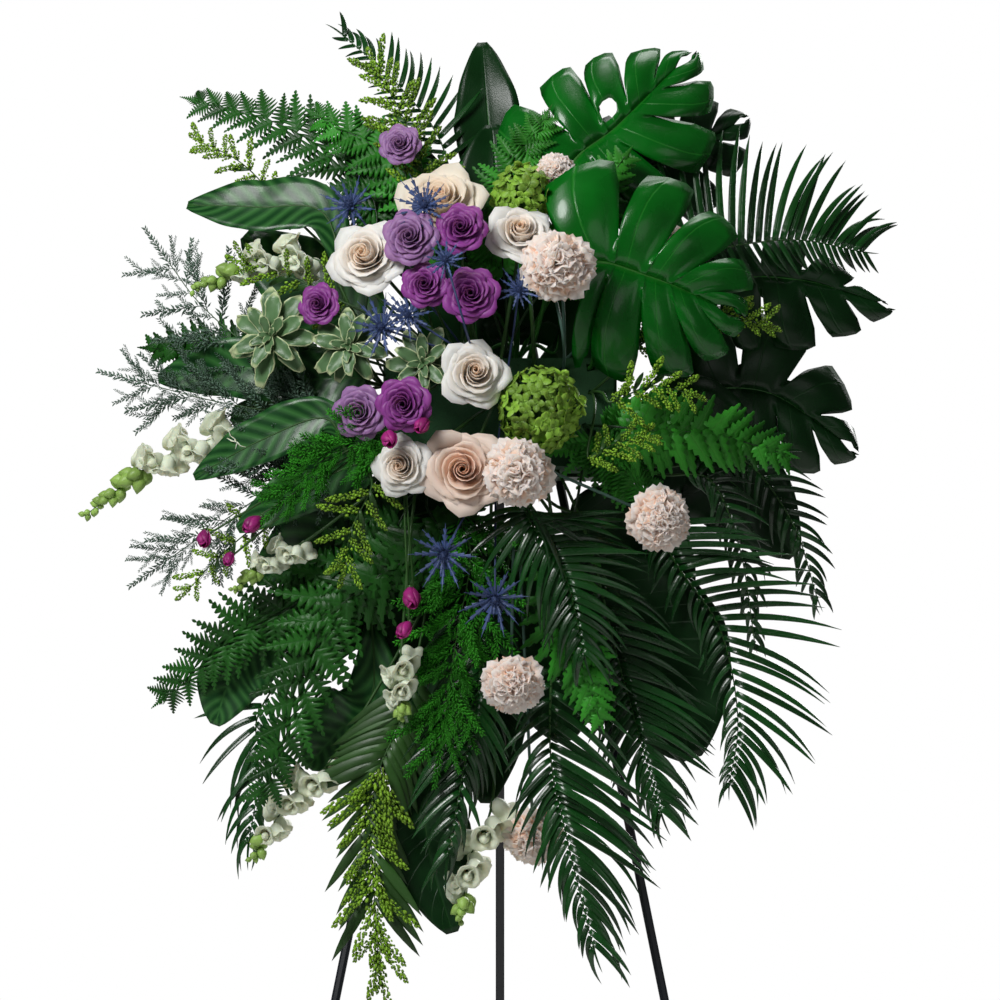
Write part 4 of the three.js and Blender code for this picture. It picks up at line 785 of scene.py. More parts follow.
def split_leaf(run, chance, left, right, lobes, yaw, pitch):
    """Split leaf: on both sides of the rib, broad lobes parted by long slits, with a hole beside the rib."""
    # Where the columns of a lobe lie between its two slits, and how far out its edge reaches there
    stops = (0, 0.13, 0.18, 0.25, 0.48, 0.7, 0.82, 0.88)
    edges = (0.27, 0.3, 0.72, 0.93, 0.99, 1.02, 1.0, 0.76)
    places = [lobe + s for lobe in range(lobes) for s in stops] + [lobes]
    reaches = [0.86, *(edges * lobes)[1:], 1]
    last = len(places) - 1
    forms = []
    for side, size in ((-1, left), (1, right)):

        def place(u, v, side=side, size=size):
            k = (u + 1) / 2 * last
            low, high = int(k), min(int(k) + 1, last)
            at = mix(places[low], places[high], k - low)
            part, s = at % 1, at / lobes
            p, along, face, over = run.at(s)
            spread = 0.07 * v * v * (ease(0.6, 0.9, part) - ease(0.45, 0.15, part) * (part > 0.02)) / lobes
            reach = size * (1.04 + 0.2 * math.sin(math.pi * s**0.8)) * (1 - 0.62 * s**3)
            reach *= 1.12 if side < 0 else 1
            way = branch(along, over, mix(132, 20, s + spread) - 20 * v * v, side)
            out = mix(reaches[low], reaches[high], k - low) * v
            swellings = math.sin(math.pi * part) * hump(v * 1.1)
            lift = reach * (out * (0.14 - 0.34 * out) + 0.085 * swellings)
            return p + over * (side * v) + way * (reach * out) + face * lift

        pierced = side < 0 and lobes > 4 and pitch < 8
        form = sheet(last, 9, place, LEAF_THICK, [(2 * len(stops) + 4, 2)] if pierced else [])
        form.uv[:, 0] = np.interp(form.uv[:, 0] * last, range(len(places)), places)
        forms.append(form)
    return Form.join(forms)


def whole_leaf(run, chance, width, wave=0.05, yaw=0):
    """Leaf with an unbroken waved edge, folded along its rib."""
    width *= 1.18

    def place(u, v):
        p, _, face, over = run.at(v)
        w = width * math.sin(math.pi * (0.03 + 0.95 * v)) ** 0.72
        w *= 1 + 0.4 * wave * math.sin(v * 26 + 2 * (u > 0))
        lift = abs(u) * w * 0.17 + wave * width * abs(u) * math.sin(v * 17 + u * 1.5)
        return p + over * (u * w) + face * lift

    return sheet(8, 28, place, LEAF_THICK)


def palm_frond(run, chance, left, right, angles, count, droop=0.2):
    """Palm frond: narrow blades on both sides of the rib, shorter at its ends."""
    shapes = ((0.6, 0.1), (1, 0.18), (1.5, 0.26))
    blades = {
        (side, j): palm_blade(0.033, droop * fall, -side * bend)
        for side in (-1, 1)
        for j, (fall, bend) in enumerate(shapes)
    }
    found = {key: [] for key in blades}
    count = round(count * 2.5)
    for i in range(count):
        s = (i + 0.5) / count
        for side, size in ((-1, left), (1, right)):
            p, along, face, over = run.at(min(1, s + side * 0.25 / count))
            length = size * (0.5 + 0.5 * hump(0.18 + s * 0.92)) * chance.uniform(1.02, 1.22)
            degrees = mix(angles[0] + 18, angles[1] + 22, s) + chance.uniform(-4, 4)
            way = branch(along, over, degrees, side) + face * chance.uniform(0.02, 0.14)
            turned = face + over * (side * chance.uniform(-0.3, 0.1))
            turned += Vector((-0.12, 0, 0.42)) * chance.uniform(0, 1.4)
            start = p + over * (side * 0.3)
            found[side, chance.randrange(3)].append(lay(start, way, turned, length, mix(length, 100, 0.7)))
    tip, along, face, over = run.at(1)
    found[1, 0].append(lay(tip - along * 4, along, face, right * 0.5))
    return Form.join([blades[key].copies(m, chance, 0.4) for key, m in found.items() if m])


def fern_frond(run, chance, size, count, kind="toothed"):
    """Fern frond: plain toothed leaflets, or leaflets that are cut again into lobes."""
    plain = kind == "plain"
    long = size * (2.1 if size < 25 else 1.5 if plain else 1.26 if size < 50 else 1.1)
    wide = long * 9 / count
    if plain:
        forms = [toothed_pinna(6, 0.19, 0.35, 0.14)]
    else:
        forms = [pinna(9 if kind == "toothed" else 8, w, d) for w, d in ((0.23, 0.1), (0.27, 0.22))]
    found = [[] for _ in forms]
    count = round(count * (3.3 if plain else 2.7))
    for i in range(count):
        s = (i + 0.4) / count
        for side in (-1, 1):
            p, along, face, over = run.at(s + side * 0.2 / count)
            length = long * (1.2 - 0.8 * s * s - 0.3 * (1 - s) ** 3) * chance.uniform(0.9, 1.08)
            degrees = mix(70, 42, s) + chance.uniform(-7, 7)
            way = branch(along, over, degrees, side) + face * chance.uniform(-0.05, 0.2)
            turned = face + over * (side * chance.uniform(-0.35, 0.1)) + along * chance.uniform(-0.2, 0.2)
            found[i % len(forms)].append(lay(p, way, turned, length, mix(length, wide, 0.4)))
    tip, along, face, over = run.at(1)
    found[0].append(lay(tip - along * 3, along, face, long * 0.42))
    return Form.join([form.copies(m, chance, 0.35) for form, m in zip(forms, found)])


def feather(count, angle, long, width):
    """Side branch of asparagus, one unit long: a hair stem set round with needles."""
    chance = random.Random(count)
    found = []
    for i in range(count):
        t = 0.06 + 0.94 * i / count
        away = Vector((math.cos(i * 2.4), 0, 0.75 * math.sin(i * 2.4)))
        a = math.radians(angle + chance.uniform(-12, 12))
        way = Vector((0, math.cos(a), 0)) + away * math.sin(a)
        size = long * (1 - 0.55 * t) * chance.uniform(0.75, 1.1)
        found.append(lay(Vector((0, t, -0.06 * t * t)), way, Vector((0, 0.2, 1)), size, width * 14))
    rib = [(Vector((0, t / 6, -0.06 * (t / 6) ** 2)), 0.008 - 0.005 * t / 6) for t in range(7)]
    return Form.join([needle(0.07).copies(found), stems([rib], 0)])


def asparagus_frond(run, chance, branches, reach, long):
    """Needle foliage: feathered side branches, each with three smaller twigs."""
    green = long > 15
    reach *= 1.25 if branches == 1 else 1
    form = feather(64 if green else 52, 46, long / reach * 0.95, 0.021 if green else 0.019)
    twigs = feather(28, 50, long / reach * 1.6, 0.026)
    found, small = [], []
    count = round(branches * (16 if green else 15))
    for i in range(count):
        s = (i + 0.5) / count
        p, along, face, over = run.at(s)
        degrees = 54 - 16 * s + chance.uniform(-20, 20)
        way = branch(along, over, degrees, 1 if i % 2 else -1) + face * chance.uniform(-0.25, 0.6)
        length = reach * (1 - 0.4 * s) * chance.uniform(0.5, 1.1)
        found.append(lay(p, way, face, length))
        for j in range(3):
            start = p + way * (length * (0.2 + 0.2 * j))
            turn = way + over * (0.75 * (-1) ** j) + face * chance.uniform(-0.4, 0.6)
            small.append(lay(start, turn, face, length * chance.uniform(0.3, 0.45)))
    tip, along, face, over = run.at(0.96)
    found.append(lay(tip, along, face, reach * 0.7))
    return Form.join([form.copies(found, chance, 0.3), twigs.copies(small, chance, 0.3)])


def flower_plume(count):
    """Goldenrod plume, one unit long: small heads in clusters round a twig."""
    chance = random.Random(count)
    found = []
    for i in range(count):
        t = 0.04 + 0.96 * (i + chance.uniform(-1, 1)) / count
        away = Vector((math.cos(i * 2.4), 0, math.sin(i * 2.4)))
        wide = 0.17 * hump(max(0, t) ** 0.7) ** 0.6 * chance.uniform(0.1, 1)
        wide *= 0.55 + 0.45 * math.sin(t * 26) ** 2
        start = Vector((0.12 * t * t, t, -0.1 * t * t)) + away * wide
        found.append(seat(start, away + Vector((0, 0.8, 0)), 0, chance.uniform(0.065, 0.13)))
    return bead(4, 3, 0.42).copies(found, chance, 0.5)


def goldenrod_stem(run, chance, plumes, reach, spread=48):
    """Plumes and narrow leaves on both sides, and leaves alone on the upper part of a long stem."""
    long_stem = plumes > 5
    reach *= 1.3 if plumes < 3 or long_stem else 1.08
    plume, blade = flower_plume(66), leaflet(0.07, 0.3, 0.25, 6, 0.8).painted(1)
    found, leaves, twigs = [], [], []
    count = round(plumes * (6.4 if long_stem else 5.2))
    for i in range(count):
        s = (i + 0.6) / count
        side = 1 if i % 2 else -1
        p, along, face, over = run.at(s)
        degrees = spread + 8 - 24 * s + chance.uniform(-18, 18)
        way = branch(along, over, degrees, side) + face * chance.uniform(0.0, 0.6)
        if long_stem and s < 0.4:
            leaves.append(lay(p, along * 0.8 + over * (side * 0.8), face, reach * chance.uniform(0.95, 1.2)))
            continue
        length = reach * (1.1 - 0.35 * s) * chance.uniform(0.6, 1.0)
        found.append(lay(p, way, face, length, mix(length, 24, 0.7) * side, side))
        twigs.append([(p, 0.8), (p + way.normalized() * length * 0.7, 0.3)])
        if s < 0.6 and i % 2 or long_stem and s < 0.85:
            away = along * 0.85 + over * (side * -0.6) + face * chance.uniform(-0.3, 0.1)
            size = reach * chance.uniform(0.5, 0.8)
            leaves.append(lay(p + face * 3, away, face, size * (1.5 if long_stem else 1), size * 1.3))
    tip, along, face, over = run.at(0.97)
    found.append(lay(tip, along, face, reach * 0.55, min(24, reach * 0.55)))
    parts = [plume.copies(found, chance, 0.3), stems(twigs, 0).painted(1)]
    return Form.join(parts + ([blade.copies(leaves, chance, 0.3)] if leaves else []))


def snapdragon_spike(run, chance, florets, buds, size):
    """Snapdragon: open florets low on the stem, and closed green buds that grow smaller to its tip."""
    size *= 1.16
    opened_part = florets / (florets + buds)
    opened, closed = snapdragon_floret(), bead(6, 5, 0.42, 0.85)
    cup = ring_of(leaflet(0.2, 0.2, 0.1, 3), 5, 62, 0, 0.42)
    found, small, cups = [], [], []
    count = round((florets + buds) * 3.4)
    for i in range(count):
        s = ((i + 0.4) / count) ** 0.82
        p, along = run.at(s)[:2]
        around = (FRONT - along * FRONT.dot(along)).normalized()
        around = Matrix.Rotation(((i % 5) - 2) * 1.1 + 0.25 * math.sin(i * 2.3), 3, along) @ around
        is_open = s < opened_part
        axis = (around + along * (0.55 if is_open else 0.9)).normalized()
        if is_open:
            r = size * (0.98 - 0.3 * s)
            found.append(seat(p, axis, math.pi / 2 + chance.uniform(-0.3, 0.3), r))
        else:
            r = size * mix(1.2, 0.5, ease(opened_part, 1, s))
            small.append(seat(p, axis, 0, r * 0.8, 1.15))
            beside = run.at(min(1, s + 0.5 / count))[0]
            small.append(seat(beside, Matrix.Rotation(2.4, 3, along) @ axis, 0, r * 0.7, 1.15))
        cups.append(seat(p, axis, i, r * 0.8))
    parts = [opened.copies(found, chance, 0.3), closed.copies(small, chance, 0.3).painted(2)]
    return Form.join([*parts, cup.copies(cups).painted(1)])


# Blooms of radius one, which stand on the end of their own stem. Size is the radius they are given, in mm.


def sea_holly_head(chance, size):
    """A studded cone on two rings of spiny bracts."""
    bract = spiny_bract()
    bracts = [ring_of(bract, 12, 18, -0.25, 4.3, 0, chance), ring_of(bract, 9, 44, -0.1, 3.1, 0.3, chance)]
    studs = [seat(Vector((w.x * 0.5, w.y * 0.5, 0.6 + w.z * 0.85)), w, 0, 0.24) for w in dome(46, 1.7)]
    core = bead(10, 8, 0.5).copies(moved(-0.3, (1, 1, 1.6)))
    return Form.join([*bracts, bead(4, 3, 0.4).copies(studs).painted(1), core.painted(1)])


def leaf_rosette(chance, size):
    """Four rings of leaves, smaller and more upright toward the middle."""
    leaf = rosette_leaf(0.21, 0.24, 0.09, 0.26)
    rings = (
        (7, 6, -1.5 / size, 1.16, 0), (6, 28, 0.04, 0.94, 0.6), (4, 46, 0.08, 0.6, 0.2),
        (3, 68, 0.1, 0.36, 0.9),
    )
    return Form.join([ring_of(leaf, *ring, chance) for ring in rings])


def hydrangea_head(chance, size):
    """Florets on short twigs all over a ball, with a smaller core."""
    found, twigs = [], []
    for i, way in enumerate(dome(round(size * size / 19), 1.6)):
        out = 0.93 + chance.uniform(-0.1, 0.07)
        tilt = way + Vector([chance.uniform(-0.35, 0.35) for _ in range(3)])
        found.append(seat(way * out, tilt, i * 1.3, chance.uniform(8.5, 11.5) / size))
        twigs.append([(way * 0.1, 1.2 / size), (way * (out + 0.01), 0.8 / size)])
    core = bead(12, 10, 0.62).copies(moved(-0.62, (1, 1, 1.2)))
    florets = hydrangea_floret().copies(found, chance, 0.4)
    return Form.join([florets, stems(twigs, 0).painted(1), core.painted(1)])


# Rings of rose petals from the heart out: count, radius, height, half angle they wrap, curl, point and twist
ROSE_RINGS = (
    (2, 0.1, 0.62, 165, 0.0, 0, 0.5), (3, 0.19, 0.62, 120, 0.02, 0, 0.45),
    (3, 0.31, 0.58, 104, 0.05, 0.2, 0.4), (3, 0.45, 0.52, 94, 0.11, 0.5, 0.32),
    (4, 0.6, 0.42, 84, 0.2, 0.8, 0.2), (4, 0.77, 0.26, 82, 0.3, 1.0, 0.12),
    (5, 0.93, 0.06, 74, 0.34, 1.1, 0.06),
)
SPRAY_RINGS = (
    (3, 0.12, 0.44, 130, 0.02, 0.2, 0.4), (4, 0.26, 0.46, 84, 0.08, 0.4, 0.35),
    (5, 0.42, 0.42, 62, 0.14, 0.5, 0.3), (6, 0.58, 0.34, 50, 0.2, 0.6, 0.2),
    (7, 0.76, 0.2, 46, 0.26, 0.5, 0.14), (7, 0.94, 0.0, 46, 0.3, 0.4, 0.1),
)


def rose_head(rings, chance, columns, rows):
    """Rings of cupped petals: a tight spiral inside, open with rolled, pointed rims outside."""
    parts = []
    for k, (count, *petal) in enumerate(rings):
        found = []
        for i in range(count):
            turn = Matrix.Rotation(2 * math.pi * (i + chance.uniform(-0.16, 0.16)) / count + k * 2.2, 4, "Z")
            lean = Matrix.Rotation(chance.uniform(-0.16, 0.1) * min(1, k / 3), 4, "Y")
            found.append(np.array(turn @ lean @ Matrix.Diagonal((1, 1, chance.uniform(0.93, 1.05), 1))))
        deep = (1 - k / (len(rings) - 1)) ** 1.3
        parts.append(rose_petal(*petal, columns, rows).toned(deep).copies(found, chance, 0.08))
    return Form.join([*parts, calyx(0.8, -0.5).painted(1)])


def large_rose(chance, size):
    return rose_head(ROSE_RINGS, chance, 8, 7)


def small_rose(chance, size):
    return rose_head(SPRAY_RINGS, chance, 7, 6)


def carnation_head(chance, size):
    """A dome of ruffled petals, upright in the middle and spread at the edge."""
    ruffle = bpy.context.scene.spray_sizes.ruffle
    petals = [ruffled_petal(phase) for phase in (0.4, 2.1, 4.0)]
    found = [[], [], []]
    count = 64
    for i in range(count):
        rise = math.radians(4 + 88 * (i / count) ** 0.85 + chance.uniform(-6, 6))
        along, face = raised(i * GOLDEN, rise)
        face = face + along.cross(face) * chance.uniform(-0.4, 0.4)
        long = chance.uniform(0.96, 1.12)
        start = Vector((chance.uniform(-0.1, 0.1), chance.uniform(-0.1, 0.1), -0.4))
        found[i % 3].append(lay(start, along, face, long, long, ruffle))
    parts = [form.copies(m, chance, 0.1) for form, m in zip(petals, found)]
    return Form.join([*parts, bead(8, 6, 0.24, 1.1).copies(moved(-0.95, (1, 1, 0.7))).painted(1)])


def rose_bud(chance, size):
    """Three furled petals inside five that lean in, in a long calyx."""
    outer = rose_petal(0.52, 1.0, 62, -0.26, 0.5, 0.22, 6, 6).copies(turns(5, 0.3), chance, 0.3)
    inner = rose_petal(0.34, 1.15, 100, -0.16, 0.3, 0.35, 6, 6).toned(0.9).copies(turns(3))
    return Form.join([outer, inner, calyx(1.1, -0.5).painted(1)])


# Finishes


def linear(code):
    """The linear value of an sRGB hex colour."""
    parts = [int(code[i : i + 2], 16) / 255 for i in (1, 3, 5)]
    return tuple(c / 12.92 if c <= 0.04045 else ((c + 0.055) / 1.055) ** 2.4 for c in parts)


def shade(colour, factor=1):
    """A colour made darker or lighter, with its alpha."""
    return (*(min(1, c * factor) for c in colour[:3]), 1)


def add_node(tree, kind, inputs, out=0, **settings):
    """Adds a node with its settings, gives its inputs values or links, and returns one of its outputs."""
    node = tree.nodes.new(f"ShaderNode{kind}")
    for name, value in settings.items():
        setattr(node, name, value)
    for key, value in inputs.items():
        if isinstance(value, bpy.types.NodeSocket):
            tree.links.new(value, node.inputs[key])
        else:
            node.inputs[key].default_value = value
    return node.outputs[out] if node.outputs else None


def fresh(name):
    """A new material, and its empty node tree."""
    material = bpy.data.materials.new(name)
    material.use_nodes = True
    material.node_tree.nodes.clear()
    return material, material.node_tree


def surface(tree, inputs):
    """The shader of a material, linked to its output."""
    add_node(tree, "OutputMaterial", {"Surface": add_node(tree, "BsdfPrincipled", inputs)})


# Map Range inputs that fall from 1 to 0 between the first two
FALLING = {3: 1.0, 4: 0.0}


def band(tree, value, width):
    """1 where the repeating value is near the middle of its period, fading to 0 over the width."""
    part = add_node(tree, "Math", {0: value}, operation="FRACT")
    off = add_node(tree, "Math", {0: part, 1: 0.5}, operation="SUBTRACT")
    near = add_node(tree, "Math", {0: off}, operation="ABSOLUTE")
    return add_node(tree, "MapRange", {0: near, 1: 0, 2: width, **FALLING})


def vein_mask(tree, kind, count, width):
    """Marks on the leaf's own coordinates: lobed, feathered or ribbed veins, or a pale margin."""
    uv = add_node(tree, "UVMap", {}, uv_map="UVMap")
    x = add_node(tree, "SeparateXYZ", {0: uv})
    y = x.node.outputs["Y"]
    if kind == "lobed":
        rib = add_node(tree, "MapRange", {0: y, 1: 0.0, 2: 0.05, **FALLING})
        return add_node(tree, "Math", {0: rib, 1: band(tree, x, width)}, operation="MAXIMUM")
    if kind == "ribbed":
        return band(tree, add_node(tree, "Math", {0: x, 1: float(count)}, operation="MULTIPLY"), width)
    off = add_node(tree, "Math", {0: x, 1: 0.5}, operation="SUBTRACT")
    away = add_node(tree, "Math", {0: off}, operation="ABSOLUTE")
    if kind == "edged":
        sides = add_node(tree, "MapRange", {0: away, 1: 0.5 - width, 2: 0.5 - width * 0.55})
        tip = add_node(tree, "MapRange", {0: y, 1: 0.88, 2: 0.96})
        return add_node(tree, "Math", {0: sides, 1: tip}, operation="MAXIMUM")
    rib = add_node(tree, "MapRange", {0: away, 1: 0.0, 2: 0.035, **FALLING})
    slope = add_node(tree, "Math", {0: away, 1: -0.62 * count * 0.5}, operation="MULTIPLY")
    rows = add_node(tree, "Math", {0: y, 1: float(count), 2: slope}, operation="MULTIPLY_ADD")
    return add_node(tree, "Math", {0: rib, 1: band(tree, rows, width)}, operation="MAXIMUM")


# Size of the skin's grain in mm, and how deep it and the veins are in metres
GRAIN_MM, RELIEF = 1.2, 0.0006


def living(name, colour, shades, mottle_mm, rough, veins=None, relief=0.25, soft=0.0, coat=0.0, heart=None,
           even=False, specular=0.5):
    """Plant tissue: mottling and tone vary its colour, and veins and grain give it relief.

    Where a heart's colour is given, the tone leads to it.
    """
    material, tree = fresh(name)
    place = add_node(tree, "TexCoord", {}, "Object")
    tone = add_node(tree, "Attribute", {}, "Fac", attribute_name="tone")
    mottle = add_node(tree, "TexNoise", {"Vector": place, "Scale": 1000 / mottle_mm, "Detail": 3.0})
    share, start = (0.9, 0.35) if even else (0.6, tone)
    both = add_node(tree, "Math", {0: mottle, 1: share, 2: start}, operation="MULTIPLY_ADD")
    ramp = add_node(tree, "MapRange", {0: both, 1: 0.35, 2: 1.25, 3: 0.0, 4: 1.0})
    ends = {6: shade(colour, shades[0]), 7: shade(colour, shades[1])}
    base = add_node(tree, "Mix", {0: ramp, **ends}, 2, data_type="RGBA")
    # A heart colour is the flower's own inner tint; on the carnations it also holds painted shade
    if heart is not None:
        deep = add_node(tree, "Math", {0: tone, 1: 1.3}, operation="POWER")
        base = add_node(tree, "Mix", {0: deep, 6: base, 7: shade(heart)}, 2, data_type="RGBA")
    height = add_node(tree, "TexNoise", {"Vector": place, "Scale": 1000 / GRAIN_MM, "Detail": 2.0})
    if veins:
        *marks, code, strength = veins
        mask = vein_mask(tree, *marks)
        weak = add_node(tree, "Math", {0: mask, 1: strength}, operation="MULTIPLY")
        base = add_node(tree, "Mix", {0: weak, 6: base, 7: shade(linear(code))}, 2, data_type="RGBA")
        height = add_node(tree, "Math", {0: mask, 1: -1.6, 2: height}, operation="MULTIPLY_ADD")
    bump = add_node(tree, "Bump", {"Height": height, "Strength": relief, "Distance": RELIEF})
    matt = {3: rough * 0.85, 4: min(1, rough * 1.2)}
    inputs = {
        "Base Color": base, "Normal": bump, "IOR": 1.45,
        "Roughness": add_node(tree, "MapRange", {0: mottle, 1: 0.3, 2: 0.7, **matt}),
        "Specular IOR Level": specular, "Coat Weight": coat, "Coat Roughness": 0.12,
    }
    if soft:
        inputs |= {"Subsurface Weight": soft, "Subsurface Radius": (1.0, 0.7, 0.5), "Subsurface Scale": 0.003}
    surface(tree, inputs)
    return material


def leaf_finishes(tints):
    """Finishes of the foliage and the stems, by plain name."""
    dark = {"relief": 0.35, "coat": 0.03, "even": True, "specular": 0.3}
    marked = {"relief": 0.2, "coat": 0.1, "even": True, "specular": 0.35}
    return {
        # Waxy skin of a large leaf: wet-looking gloss, pale veins sunk between swollen lobes
        "bright_leaf": living("waxed_split_leaf", tints.bright_leaf, (0.42, 1.6), 45, 0.26,
                              ("lobed", 1, 0.02, "#2f8a2c", 0.5), 0.35, coat=0.3, even=True, specular=0.35),
        # Leaves deeper in the spray: the same wax, duller, their dark green made nearly black by painted
        # shade
        "dark_leaf": living("waxed_dark_leaf", tints.dark_leaf, (0.45, 1.7), 45, 0.3,
                            ("lobed", 1, 0.025, "#1a431c", 0.5), **dark),
        # The whole leaves low in the spray take the same nearly black colour: dark green with painted shade
        "plain_leaf": living("waxed_whole_leaf", tints.dark_leaf, (0.6, 1.6), 40, 0.34,
                             ("feathered", 12, 0.05, "#1f4a20", 0.5), **dark),
        # Feather-marked leaf: pale bands between the side veins
        "striped_leaf": living("feather_marked_leaf", tints.striped_leaf, (0.6, 1.4), 30, 0.36,
                               ("feathered", 11, 0.4, "#3b7337", 0.8), **marked),
        # Hard ribbed strap that shines along its folds
        "palm_leaf": living("polished_palm_blade", tints.palm_leaf, (0.45, 1.7), 20, 0.26,
                            ("ribbed", 3, 0.12, "#1a4c20", 0.4), 0.3, coat=0.3),
        # Leathery leaflet with one pale rib, and a softer, lighter copy: a paler green, with painted light on
        # the fronds that stand forward toward the lamps
        "fern_leaf": living("leathery_fern", tints.fern_leaf, (0.45, 1.6), 18, 0.4,
                            ("ribbed", 1, 0.08, "#235520", 0.6), 0.3, specular=0.3),
        "young_fern": living("soft_young_fern", tints.young_fern, (0.5, 1.6), 18, 0.45,
                             ("ribbed", 1, 0.08, "#3d7a2a", 0.5), specular=0.3),
        # Needles too fine to shine: only their colour varies
        "asparagus": living("asparagus_needle", tints.asparagus, (0.5, 1.7), 10, 0.5, specular=0.25),
        "grey_asparagus": living("grey_asparagus_needle", tints.grey_asparagus, (0.6, 1.5), 10, 0.6),
        # Leaf with a cream margin
        "pittosporum": living("cream_edged_leaf", tints.pittosporum, (0.65, 1.3), 12, 0.38,
                              ("edged", 1, 0.08, "#c3cf9f", 0.9), 0.2),
        # Green stem skin with faint length-wise mottling, darker, paler or bluer with its plant
        "stem": living("green_stem", linear("#2e5420"), (0.5, 1.3), 16, 0.45),
        "leaf_rib": living("pale_leaf_rib", linear("#2c6c22"), (0.6, 1.3), 16, 0.4),
        "dark_stem": living("dark_green_stem", linear("#12310f"), (0.5, 1.4), 16, 0.4),
        "grey_stem": living("blue_green_stem", linear("#47665a"), (0.6, 1.3), 16, 0.5),
    }


def flower_finishes(tints):
    """Finishes of the petals and the small heads, by plain name."""
    pale = {"relief": 0.12, "soft": 0.3, "even": True}
    deep = {"relief": 0.15, "even": True}
    found = {
        # Downy heads: dull, each with a tone of its own
        "goldenrod": living("goldenrod_head", tints.goldenrod, (0.6, 1.5), 6, 0.6, soft=0.1),
        # Fleshy petal: matt, and light passes a little way in
        "snapdragon": living("snapdragon_petal", tints.snapdragon, (0.75, 1.1), 12, 0.5, soft=0.3),
        "snapdragon_bud": living("snapdragon_bud", linear("#8fb257"), (0.7, 1.4), 12, 0.45, soft=0.1),
        # Stiff steel-blue bract with a pale rib, and its darker studded cone
        "sea_holly": living("sea_holly_bract", tints.sea_holly, (0.6, 1.7), 8, 0.45,
                            ("ribbed", 1, 0.15, "#93a5cf", 0.4), 0.2),
        "sea_holly_cone": living("sea_holly_cone", shade(tints.sea_holly, 0.7), (0.5, 1.8), 3, 0.6),
        # Thin floret with three faint veins
        "hydrangea": living("hydrangea_floret", tints.hydrangea, (0.55, 1.45), 9, 0.5,
                            ("ribbed", 3, 0.1, "#a9c46a", 0.3), 0.2, soft=0.15),
        # Satin petal that glows through, and deepens toward the heart of the flower
        "peach_petal": living("peach_rose_petal", tints.peach_petal, (0.85, 1.02), 14, 0.5,
                              heart=linear("#eebb9f"), **pale),
        "purple_petal": living("purple_rose_petal", tints.purple_petal, (0.65, 1.35), 10, 0.5, soft=0.15,
                               heart=shade(tints.purple_petal, 0.45), **deep),
        "lavender_petal": living("lavender_rose_petal", tints.lavender_petal, (0.75, 1.2), 10, 0.5, soft=0.2,
                                 heart=shade(tints.lavender_petal, 0.6), **deep),
        "magenta_petal": living("magenta_bud_petal", tints.magenta_petal, (0.6, 1.4), 8, 0.5, soft=0.1),
        # Papery fringed petal: pale rims over a deeper peach in the depth, partly the petal's own peach and
        # partly painted shade
        "carnation_petal": living("carnation_petal", tints.carnation_petal, (0.86, 1.02), 9, 0.6, soft=0.3,
                                  heart=tints.carnation_peach_and_shade, **deep),
    }
    for name in ("white", "cream"):
        colour = getattr(tints, f"{name}_petal")
        look = living(f"{name}_rose_petal", colour, (0.82, 1.02), 14, 0.5, heart=tints.rose_heart, **pale)
        found[f"{name}_petal"] = look
    return found


def enamelled_steel(tints):
    """Steel rod with dark enamel: smooth and satin, a faint orange-peel swell, paler in worn spots."""
    material, tree = fresh("dark_enamelled_steel")
    place = add_node(tree, "TexCoord", {}, "Object")
    wear = add_node(tree, "TexNoise", {"Vector": place, "Scale": 60.0, "Detail": 5.0})
    worn = add_node(tree, "MapRange", {0: wear, 1: 0.58, 2: 0.8})
    ends = {6: shade(tints.easel), 7: shade(tints.easel, 2.2)}
    base = add_node(tree, "Mix", {0: worn, **ends}, 2, data_type="RGBA")
    peel = add_node(tree, "TexNoise", {"Vector": place, "Scale": 700.0, "Detail": 2.0})
    bump = add_node(tree, "Bump", {"Height": peel, "Strength": 0.15, "Distance": 0.0003})
    rough = add_node(tree, "MapRange", {0: wear, 3: 0.28, 4: 0.45})
    surface(tree, {"Base Color": base, "Normal": bump, "Roughness": rough})
    return material


def plain_stuff(name, code, rough, pore_mm, relief, low=0.7, high=1.3):
    """Rubber, foam or plastic: an even colour broken by pores or grain of a given size."""
    material, tree = fresh(name)
    place = add_node(tree, "TexCoord", {}, "Object")
    pores = add_node(tree, "TexNoise", {"Vector": place, "Scale": 1000 / pore_mm, "Detail": 4.0})
    ends = {6: shade(linear(code), low), 7: shade(linear(code), high)}
    base = add_node(tree, "Mix", {0: pores, **ends}, 2, data_type="RGBA")
    bump = add_node(tree, "Bump", {"Height": pores, "Strength": relief, "Distance": 0.0008})
    worn = add_node(tree, "MapRange", {0: pores, 3: rough * 0.85, 4: rough})
    surface(tree, {"Base Color": base, "Normal": bump, "Roughness": worn})
    return material


# What a user would change


def tint(name, code):
    """A colour property with its default."""
    return FloatVectorProperty(
        name=name, description=f"Colour of the {name.lower()}", subtype="COLOR", size=3, min=0, max=1,
        default=linear(code),
    )


